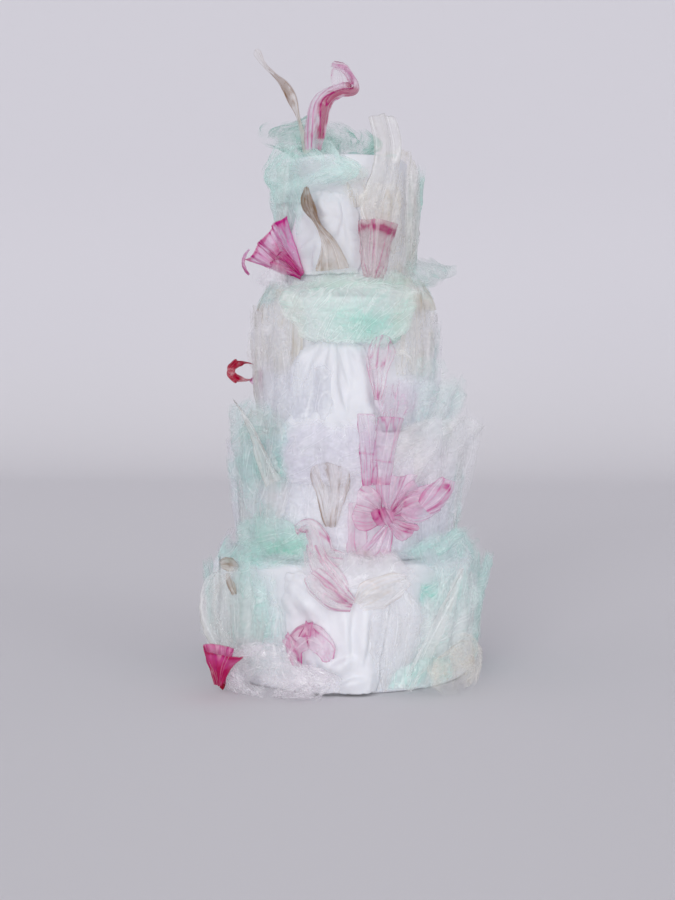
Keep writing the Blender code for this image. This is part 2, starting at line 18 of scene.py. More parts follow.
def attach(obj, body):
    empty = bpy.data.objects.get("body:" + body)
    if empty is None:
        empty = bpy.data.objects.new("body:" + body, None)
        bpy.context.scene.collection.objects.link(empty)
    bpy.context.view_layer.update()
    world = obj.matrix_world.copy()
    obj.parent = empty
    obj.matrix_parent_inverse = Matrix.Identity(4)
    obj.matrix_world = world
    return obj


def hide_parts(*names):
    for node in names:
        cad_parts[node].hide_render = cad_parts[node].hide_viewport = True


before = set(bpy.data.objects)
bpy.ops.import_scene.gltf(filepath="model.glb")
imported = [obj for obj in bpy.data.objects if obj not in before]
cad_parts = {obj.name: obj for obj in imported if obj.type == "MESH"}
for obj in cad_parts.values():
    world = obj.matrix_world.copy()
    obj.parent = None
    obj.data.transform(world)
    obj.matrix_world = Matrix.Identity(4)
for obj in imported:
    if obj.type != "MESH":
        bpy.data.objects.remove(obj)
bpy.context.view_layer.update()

MM = 0.001

# Tiers: radius, bottom and top.
TIERS = ((122.0, 0.0, 115.0), (100.0, 115.3, 233.0), (81.0, 233.3, 357.0), (57.0, 357.3, 489.0))
TIER_FOOT_CHAMFER = 2.0
TIER_TOP_ROUND = 3.5

# A piece with this tier number stands free on the top tier, and its out is measured forward from the axis.
ON_TOP = 0

# A piece that reaches past this angle from the front leaves the tier's side and stands out sideways.
WIDEST_ANGLE = math.radians(80)

FILM_THICKNESS = 0.9
FONDANT_THICKNESS = 2.6
GAP = 0.5
FLOOR_CLEARANCE = 0.6

# The stack of pieces is measured on a grid of angle and height.
ANGLE_BINS = 180
HEIGHT_BINS = 240
HEIGHT_BIN = 3.0
TRIANGLE_SAMPLES = 7
SETTLING_ROUNDS = 4

# Fine detail: the size of a cell of film and fondant, at the front and round the back, and of a lump's leaf,
# and the fewest and most cells.
FILM_CELL = 1.3
ROUND_CELL = 2.1
FONDANT_CELL = 1.4
ROUND_FONDANT_CELL = 2.0
LEAF_CELL = 1.6
FEWEST_CELLS = 12
MOST_CELLS = 150

# Layers of one piece: the gap between them and the turn of their fine lines in radians.
LAYER_GAP = 0.9
LAYER_TURN = 1.1
LAYER_SHIFT = 37.0

# A cell of film that stops less light than this is left out.
FAINTEST = 0.012
LEAVES = 26
NOISE_TABLE = 64
CREASE_WIDTH = 0.9
RIM_WIDTH = 1.6

# Draped fondant: how far from its edge it bends to the tier, how far it is pressed in, and its soft bumps.
HEM_WIDTH = 12.0
DEEPEST_PRESS = 9.0
BUMP_SIZE = 30.0
BUMP_HEIGHT = 1.6

# A turned tier: steps round it, over its top edge and down its side, and its hand-smoothed unevenness.
TURN_STEPS = 128
EDGE_STEPS = 6
SIDE_STEPS = 24
TIER_WAVE = 30
TIER_WAVE_HEIGHT = 0.35

# Film: how rough and how shiny it is, and the share of its light that goes through it.
FILM_ROUGHNESS = 0.27
FILM_SHINE = 0.6
CRIMSON_SHINE = 0.15
FILM_TRANSLUCENCE = 0.55
# The fine lines' noise and sharpness, for the deep lines (gathered dye and painted crease shade) and for the
# white lines (painted highlights), and where the highlight lines start.
DYE_AND_SHADE_LINES = (0.55, 30.0)
PAINTED_HIGHLIGHT_LINES = (0.42, 26.0)
PAINTED_HIGHLIGHT_LINES_START = (31.0, 17.0, 5.0)
# The height in m of fine bumps on film and fondant.
FINE_BUMP = 0.0006

# Camera: distance in front of the axis, height, sideways place, pitch and roll in radians, lens in mm.
CAMERA_DISTANCE = 1315.5
CAMERA_HEIGHT = 291.3
CAMERA_SIDE = -8.2
CAMERA_PITCH = 0.0605
CAMERA_ROLL = 0.0062
CAMERA_LENS = 54.0
SENSOR_WIDTH = 36.0

# Backdrop: how far it reaches, where its sweep starts, the sweep's radius and steps, and its height.
BACKDROP_REACH = 9000.0
SWEEP_START = 2100.0
SWEEP_RADIUS = 900.0
SWEEP_STEPS = 12
BACKDROP_HEIGHT = 5000.0
FLOOR_GAP = 0.5

# The floor's tone turns to the wall's between these heights, in m.
TONE_HEIGHTS = (-0.05, 0.5)

# Lights: the strength of the light from all round, and each lamp's name, kind, place and target in m.
STUDIO_STRENGTH = 0.72
CAKE_MIDDLE = (0.0, 0.0, 0.3)
CAKE_FOOT = (0.0, 0.0, 0.06)
LIGHTS = (
    ("key", "SUN", (-1.2, -3.6, 1.0), CAKE_MIDDLE, dict(angle=0.42, energy=1.13)),
    ("fill", "SUN", (2.2, -2.0, 0.7), CAKE_MIDDLE, dict(angle=0.5, energy=0.6)),
    ("low", "AREA", (0.0, -2.5, 0.12), CAKE_FOOT,
        dict(shape="DISK", size=0.3, spread=math.radians(18), energy=0.10)),
)

# Screen colours.
# The white of the painted highlights on the film.
HIGHLIGHT_WHITE = (255, 255, 255)
STUDIO_LIGHT = (250, 250, 255)
FLOOR_TONE = (206, 204, 208)
WALL_TONE = (200, 198, 204)
FONDANT_TONES = ((207, 208, 214), (215, 216, 221))

# Screen colours of the film: light and deep.
FILMS = {
    "mint": ((239, 249, 249), (148, 230, 212)),
    "clear": ((253, 252, 252), (176, 168, 162)),
    "cream": ((252, 250, 244), (184, 164, 132)),
    "beige": ((240, 230, 220), (142, 110, 82)),
    "pink": ((250, 230, 247), (196, 26, 134)),
    "magenta": ((250, 200, 242), (192, 0, 128)),
    "crimson": ((226, 50, 100), (150, 0, 40)),
    "lilac": ((250, 250, 254), (208, 200, 222)),
    "floss": ((252, 250, 254), (206, 188, 216)),
}
# The fine lines in each film: their spacing across and along it in mm, how deep they are (gathered dye and
# painted crease shade), how white its painted highlight lines are, and how much they wander.
FILM_LINES = {
    "mint": (5.2, 22.0, 0.25, 0.55, 0.9),
    "clear": (6.6, 80.0, 0.4, 0.65, 0.3),
    "cream": (6.4, 70.0, 0.45, 0.5, 0.3),
    "beige": (3.6, 50.0, 0.6, 0.4, 0.25),
    "pink": (6.0, 50.0, 0.7, 0.45, 0.4),
    "magenta": (4.6, 40.0, 0.7, 0.3, 0.4),
    "crimson": (4.0, 14.0, 0.3, 0.12, 0.5),
    "lilac": (8.0, 28.0, 0.16, 0.4, 0.9),
    "floss": (3.2, 8.0, 0.2, 0.75, 1.2),
}


class Sheet(NamedTuple):
    """A thin sheet. Its stations run from the root to the tip.

    A sail's station is the left edge's x, z, out and the right edge's x, z, out.
    A ribbon's station is the middle's x, z, out, and the width, the roll and the curl.
    """

    name: str
    coating: str
    tier: int
    form: str
    stations: tuple
    bulge: float = 0.0
    pleats: float = 1.0
    depth: float = 0.0
    tip_cut: float = 0.0
    turn: float = 0.0
    rigid: bool = False
    cells: tuple = (4, 6)


class Lump(NamedTuple):
    """A crumpled cushion: the middle's x, z, out, and the half sizes along, up and out."""

    name: str
    coating: str
    tier: int
    middle: tuple
    half: tuple
    unevenness: float
    turn: float = 0.0


def sheet_of(form, name, tier, stations, more):
    """A sheet whose coating is the first word of its name, unless more gives another."""
    return Sheet(name, more.pop("coating", name.split("_")[0]), tier, form, stations, **more)


def sail(name, tier, *stations, **more):
    return sheet_of("sail", name, tier, stations, more)


def ribbon(name, tier, *stations, **more):
    return sheet_of("ribbon", name, tier, stations, more)


# The CAD nodes.
PIECES = (
    # Top tier, against the side first.
    sail("fondant_drape_top", 4, (-50, 378, 3, 12, 377, 3), (-56, 402, 4, 13, 404, 4),
        (-52, 430, 4, 12, 432, 4), (-48, 455, 3, 8, 456, 3), bulge=2, pleats=2.5, depth=2.2, tip_cut=0.06,
        cells=(6, 5)),
    sail("cream_fold_back", 4, (-42, 375, 3, 46, 376, 3), (-47, 420, 6, 49, 424, 6),
        (-42, 468, 6, 46, 480, 7), (-32, 506, 8, 30, 518, 8), bulge=3, pleats=3, depth=2.5, turn=130,
        tip_cut=0.1, cells=(7, 5)),
    sail("fondant_drape_back", 4, (-42, 374, 3, 46, 374, 3), (-48, 410, 4, 49, 412, 4),
        (-44, 445, 4, 44, 440, 4), (-36, 476, 3, 38, 470, 3), bulge=2, pleats=2.5, depth=2.0, turn=228,
        tip_cut=0.08, cells=(7, 5)),
    sail("clear_fold_right", 4, (12, 408, 6, 44, 402, 5), (11, 432, 8, 50, 425, 6), (19, 462, 7, 50, 465, 6),
        (26, 496, 7, 50, 498, 6), (24, 529, 8, 49, 527, 6), bulge=3, pleats=2, depth=2.5, tip_cut=0.08,
        cells=(5, 6)),
    ribbon("pink_cone", 4, (27, 374, 9, 10, 0, -90), (27, 388, 11, 26, 0, -150), (28, 408, 13, 44, 0, -170),
        (30, 428, 15, 54, 0, -170), rigid=True, tip_cut=0.1, cells=(5, 5)),
    Lump("mint_floss_top", "mint", 4, (-48, 471, 14), (40, 22, 10), 0.16),
    sail("magenta_fan", 4, (-45, 377, 6, -40, 381, 6), (-64, 379, 13, -45, 403, 11),
        (-80, 380, 22, -53, 422, 17), (-93, 376, 32, -59, 437, 21), bulge=4, pleats=3, depth=3, tip_cut=0.14,
        rigid=True, cells=(6, 6)),
    ribbon("beige_twist", 4, (-17, 380, 5, 27, 0, -30), (-20, 402, 6, 14, 10, -90),
        (-28, 421, 7, 8, 50, -120), (-36, 440, 8, 11, 10, -110), (-37, 457, 9, 3, 0, -60), rigid=True),
    ribbon("mint_leaf_right", 4, (50, 381, 10, 22, 0, 30), (66, 382, 20, 34, 0, 40),
        (86, 385, 36, 32, -15, 50), (103, 389, 50, 12, -20, 60), pleats=1.5, depth=2, tip_cut=0.1,
        cells=(4, 5)),
    # Third tier.
    sail("cream_panel_left", 3, (-77, 286, 3, -40, 284, 3), (-79, 320, 5, -38, 320, 3),
        (-79, 358, 4, -38, 356, 2), pleats=2, depth=1.6, cells=(5, 4)),
    sail("cream_panel_right", 3, (42, 284, 3, 79, 284, 4), (42, 320, 4, 81, 322, 6), (40, 359, 3, 79, 358, 5),
        pleats=3, depth=1.8, cells=(7, 4)),
    sail("clear_panel_back", 3, (-60, 238, 4, 60, 238, 4), (-68, 290, 6, 66, 288, 6),
        (-62, 350, 5, 62, 346, 5), bulge=2, pleats=4, depth=2.5, turn=130, cells=(8, 4)),
    sail("cream_panel_back", 3, (-62, 240, 4, 62, 238, 4), (-68, 285, 6, 66, 290, 6),
        (-60, 342, 5, 62, 350, 5), bulge=2, pleats=4, depth=2.5, turn=230, cells=(8, 4)),
    sail("fondant_drape_middle", 3, (-60, 221, 23, 34, 220, 23), (-62, 238, 23, 34, 238, 23),
        (-56, 262, 8, 28, 260, 9), (-52, 294, 4, 24, 294, 4), (-34, 322, 3, 12, 322, 3), bulge=2, pleats=2.5,
        depth=2.5, tip_cut=0.1, cells=(6, 8)),
    sail("mint_drape_upper", 3, (-54, 371, -16, 48, 371, -16), (-58, 361, 3, 54, 361, 3),
        (-52, 338, 4, 50, 340, 4), (-30, 312, 6, 38, 313, 6), pleats=2, depth=1.4, tip_cut=0.12,
        cells=(7, 6)),
    sail("mint_drape_back", 3, (-46, 371, -16, 48, 371, -16), (-56, 361, 3, 56, 361, 3),
        (-50, 336, 5, 50, 332, 5), (-36, 304, 7, 30, 300, 7), pleats=2.5, depth=1.6, turn=172, tip_cut=0.12,
        cells=(7, 6)),
    sail("clear_panel_far_left", 3, (-91, 288, 12, -68, 286, 8), (-93, 310, 14, -70, 310, 10),
        (-90, 336, 12, -72, 334, 9), pleats=2, depth=1.5, cells=(4, 4)),
    sail("lilac_veil_right", 3, (34, 246, 6, 70, 244, 12), (34, 266, 8, 76, 268, 14),
        (38, 286, 8, 70, 290, 12), pleats=2, depth=2, tip_cut=0.1, cells=(5, 4)),
    sail("pink_edge_curl", 3, (24, 262, 8, 29, 263, 8), (18, 285, 10, 37, 286, 12),
        (16, 304, 12, 45, 306, 14), (21, 322, 11, 41, 324, 12), bulge=-4, depth=1.5, tip_cut=0.08,
        cells=(4, 5)),
    ribbon("crimson_curl", 3, (-86, 296, 12, 8, 70, 20), (-97, 297, 18, 10, 70, 20),
        (-105, 292, 24, 11, 70, 20), (-105, 284, 24, 11, 70, 20), (-97, 279, 18, 10, 70, 20),
        (-86, 279, 12, 7, 70, 20), rigid=True, cells=(2, 10)),
    ribbon("pink_ruffle_back", 3, (-8, 258, 12, 14, 0, -60), (-4, 278, 14, 30, 0, -110),
        (4, 300, 16, 40, 0, -120), pleats=2, depth=1.5, turn=178, rigid=True, cells=(5, 4)),
    # Second tier.
    sail("mint_veil_back", 2, (-74, 117, 6, 72, 117, 6), (-80, 170, 9, 76, 166, 9),
        (-62, 236, 14, 70, 228, 14), bulge=3, pleats=4, depth=3, turn=132, tip_cut=0.1, cells=(8, 4)),
    sail("clear_veil_back", 2, (-72, 117, 4, 70, 117, 4), (-78, 164, 8, 74, 168, 8),
        (-66, 222, 12, 62, 232, 14), bulge=3, pleats=4, depth=3, turn=228, tip_cut=0.1, cells=(8, 4)),
    sail("mint_sail_left", 2, (-92, 172, 4, -46, 176, 3), (-106, 208, 12, -45, 210, 5),
        (-111, 244, 20, -46, 240, 7), (-102, 276, 24, -54, 268, 8), bulge=4, pleats=3, depth=3, tip_cut=0.1,
        cells=(6, 5)),
    sail("mint_sail_right", 2, (52, 236, 8, 92, 226, 10), (56, 262, 10, 106, 256, 18),
        (66, 292, 10, 114, 290, 26), bulge=3, pleats=3, depth=3, tip_cut=0.1, cells=(6, 4)),
    sail("beige_fan", 2, (-19, 148, 5, -8, 148, 5), (-27, 182, 8, 2, 178, 8), (-38, 212, 11, 10, 205, 12),
        bulge=3, pleats=2, depth=2, tip_cut=0.1, cells=(5, 5)),
    sail("white_sail_right", 2, (30, 186, 5, 88, 172, 6), (36, 214, 10, 108, 200, 14),
        (46, 240, 16, 126, 226, 24), (58, 262, 24, 137, 244, 38), coating="clear", bulge=4, pleats=3, depth=3,
        tip_cut=0.06, cells=(6, 5)),
    ribbon("clear_spike_left", 2, (-63, 186, 8, 24, 0, 60), (-74, 212, 12, 17, 0, 110),
        (-86, 240, 18, 10, 0, 130), (-101, 264, 26, 3, 0, 120), rigid=True, cells=(4, 5)),
    ribbon("pink_tube_left", 2, (20, 186, 7, 16, 0, -60), (18, 218, 9, 20, 0, -110),
        (17, 254, 13, 24, 0, -130), rigid=True, cells=(4, 4)),
    ribbon("pink_tube_right", 2, (32, 188, 7, 18, 0, -60), (36, 216, 9, 24, 0, -110),
        (42, 251, 13, 26, 0, -130), rigid=True, cells=(4, 4)),
    sail("mint_sail_low_left", 2, (-98, 117, 8, -31, 117, 4), (-103, 138, 14, -32, 138, 6),
        (-92, 164, 12, -44, 162, 6), bulge=3, pleats=3, depth=3, tip_cut=0.1, cells=(6, 4)),
    sail("pink_strip", 2, (2, 116.5, 5, 22, 116.5, 5), (0, 140, 6, 20, 142, 6), (-1, 172, 8, 17, 174, 8),
        depth=1, cells=(4, 4)),
    sail("mint_brim_right", 2, (34, 117, 4, 96, 117, 18), (36, 130, 8, 116, 132, 26),
        (42, 146, 12, 132, 152, 36), bulge=2, pleats=4, depth=3, tip_cut=0.05, cells=(7, 4)),
    sail("pink_petal_left", 2, (35, 156, 10, 35, 163, 10), (16, 146, 13, 24, 184, 14),
        (-2, 144, 14, 12, 194, 16), bulge=4, pleats=2, depth=2, tip_cut=0.15, cells=(5, 5)),
    sail("pink_petal_right", 2, (37, 163, 10, 37, 156, 10), (50, 188, 16, 56, 152, 14),
        (64, 194, 18, 74, 156, 16), bulge=4, pleats=2, depth=2, tip_cut=0.15, cells=(5, 5)),
    sail("magenta_petal_low", 2, (38, 157, 16, 34, 153, 16), (54, 152, 18, 40, 142, 18),
        (66, 150, 18, 46, 133, 18), bulge=2, pleats=2, depth=1.5, rigid=True, cells=(4, 4)),
    ribbon("pink_petal_lobe", 2, (66, 166, 22, 16, 0, -60), (76, 174, 24, 26, 10, -140),
        (85, 184, 26, 24, 20, -170), (89, 192, 28, 14, 20, -150), rigid=True, cells=(5, 4)),
    ribbon("pink_rope", 2, (-4, 118, 30, 26, 0, -50), (-20, 124, 26, 22, 0, -90), (-25, 139, 19, 20, 0, -100),
        (-33, 150, 15, 14, 0, -90), (-45, 145, 15, 6, 0, -60), pleats=3, depth=1, rigid=True, cells=(5, 6)),
    sail("magenta_fan_back", 2, (-6, 150, 12, 2, 150, 12), (-20, 170, 17, 12, 174, 17),
        (-38, 188, 24, 20, 200, 24), bulge=4, pleats=3, depth=3, turn=184, tip_cut=0.12, rigid=True,
        cells=(6, 4)),
    # Bottom tier.
    sail("fondant_front", 1, (-50, 2, 4, 30, 2, 6), (-53, 40, 3, 34, 40, 5), (-56, 80, 3, 42, 80, 4),
        (-60, 111, 3, 50, 111, 3), bulge=2, pleats=2.5, depth=1.6, cells=(6, 5)),
    sail("fondant_panel_back", 1, (-88, 2, 4, 84, 2, 5), (-92, 40, 4, 86, 42, 4), (-90, 80, 4, 88, 80, 4),
        (-94, 111, 3, 92, 111, 3), bulge=2, pleats=3.5, depth=2.0, turn=232, cells=(8, 4)),
    sail("mint_sail_back", 1, (-88, 4, 6, 86, 3, 6), (-96, 50, 8, 92, 46, 7), (-94, 92, 9, 90, 90, 7),
        (-84, 126, 10, 82, 122, 10), bulge=3, pleats=4, depth=3, turn=132, cells=(8, 4)),
    sail("mint_sheet_left", 1, (-102, 36, 3, -56, 34, 2), (-106, 78, 5, -62, 74, 3),
        (-104, 132, 8, -64, 128, 8), bulge=2, pleats=3, depth=2.5, tip_cut=0.05, cells=(5, 5)),
    sail("mint_sail_base_right", 1, (42, 2, 10, 108, 3, 14), (58, 40, 6, 119, 44, 16),
        (62, 80, 5, 124, 82, 18), (56, 120, 5, 121, 122, 18), bulge=4, pleats=4, depth=3.5, cells=(8, 5)),
    sail("clear_sail_front", 1, (30, 3, 10, 42, 4, 12), (20, 36, 9, 62, 40, 16), (20, 72, 9, 69, 74, 18),
        (26, 102, 8, 52, 104, 14), bulge=5, pleats=1.5, depth=2, tip_cut=0.08, cells=(5, 6)),
    ribbon("clear_loop_right", 1, (52, 5, 18, 14, 0, 60), (70, 38, 20, 20, 0, 110), (88, 76, 22, 18, 0, 130),
        (105, 114, 26, 10, 0, 120), pleats=2, depth=1, rigid=True, cells=(4, 5)),
    ribbon("pink_bow_left", 1, (6, 83, 11, 12, 0, -40), (-8, 90, 14, 26, 0, -90), (-20, 101, 15, 28, 0, -90),
        (-30, 113, 15, 14, 0, -60), pleats=2, depth=1.2, rigid=True, cells=(5, 5)),
    ribbon("cream_bow_right", 1, (10, 83, 11, 12, 0, -40), (22, 92, 14, 30, 0, -80),
        (38, 101, 15, 26, 0, -80), (52, 106, 13, 10, 0, -60), depth=1.2, rigid=True, cells=(5, 5)),
    ribbon("clear_loop_left", 1, (-94, 27, 12, 20, 0, 60), (-112, 42, 18, 28, 0, 80),
        (-124, 66, 24, 30, 0, 90), (-118, 94, 20, 24, 0, 80), (-100, 112, 12, 12, 0, 60), pleats=3, depth=1.5,
        cells=(5, 6)),
    ribbon("pink_arch", 1, (-45, 24, 9, 10, 20, -60), (-46, 44, 13, 17, 20, -100),
        (-33, 60, 17, 19, 20, -110), (-20, 48, 15, 16, 20, -100), (-17, 32, 11, 8, 20, -60), rigid=True,
        cells=(4, 8)),
    Lump("lilac_floss_base", "lilac", 1, (-68, 23, 20), (46, 23, 11), 0.16),
    Lump("cream_crumple_right", "cream", 1, (101, 27, 30), (22, 22, 8), 0.16),
    ribbon("magenta_funnel", 1, (-113, 2, 42, 6, 0, -120), (-112, 12, 43, 20, 0, -170),
        (-112, 24, 44, 38, 0, -190), (-111, 35, 45, 58, 0, -190), rigid=True, cells=(6, 4)),
    # Standing on the top tier.
    Lump("mint_cloud_top", "mint", ON_TOP, (-25, 511, -8), (45, 19.5, 24), 0.12),
    ribbon("beige_spike", ON_TOP, (-37, 493, 29, 12, 0, -60), (-41, 515, 30, 9, 30, -110),
        (-46, 536, 30, 10, 40, -120), (-53, 552, 30, 17, 10, -90), (-70, 571, 30, 6, 30, -110),
        (-87, 590, 30, 8, 0, -50), cells=(3, 9)),
    ribbon("pink_ribbon_top", ON_TOP, (-27, 493, 44, 18, 0, -60), (-28, 516, 44, 24, 0, -100),
        (-21, 537, 45, 24, 10, -110), (-6, 550, 46, 16, 10, -110), (6, 557, 46, 11, 0, -60),
        (5, 568, 46, 9, 0, -40), (-3, 577, 46, 8, 0, -30), (-15, 579, 46, 4, 0, -20), pleats=2, depth=1,
        cells=(4, 10)),
)

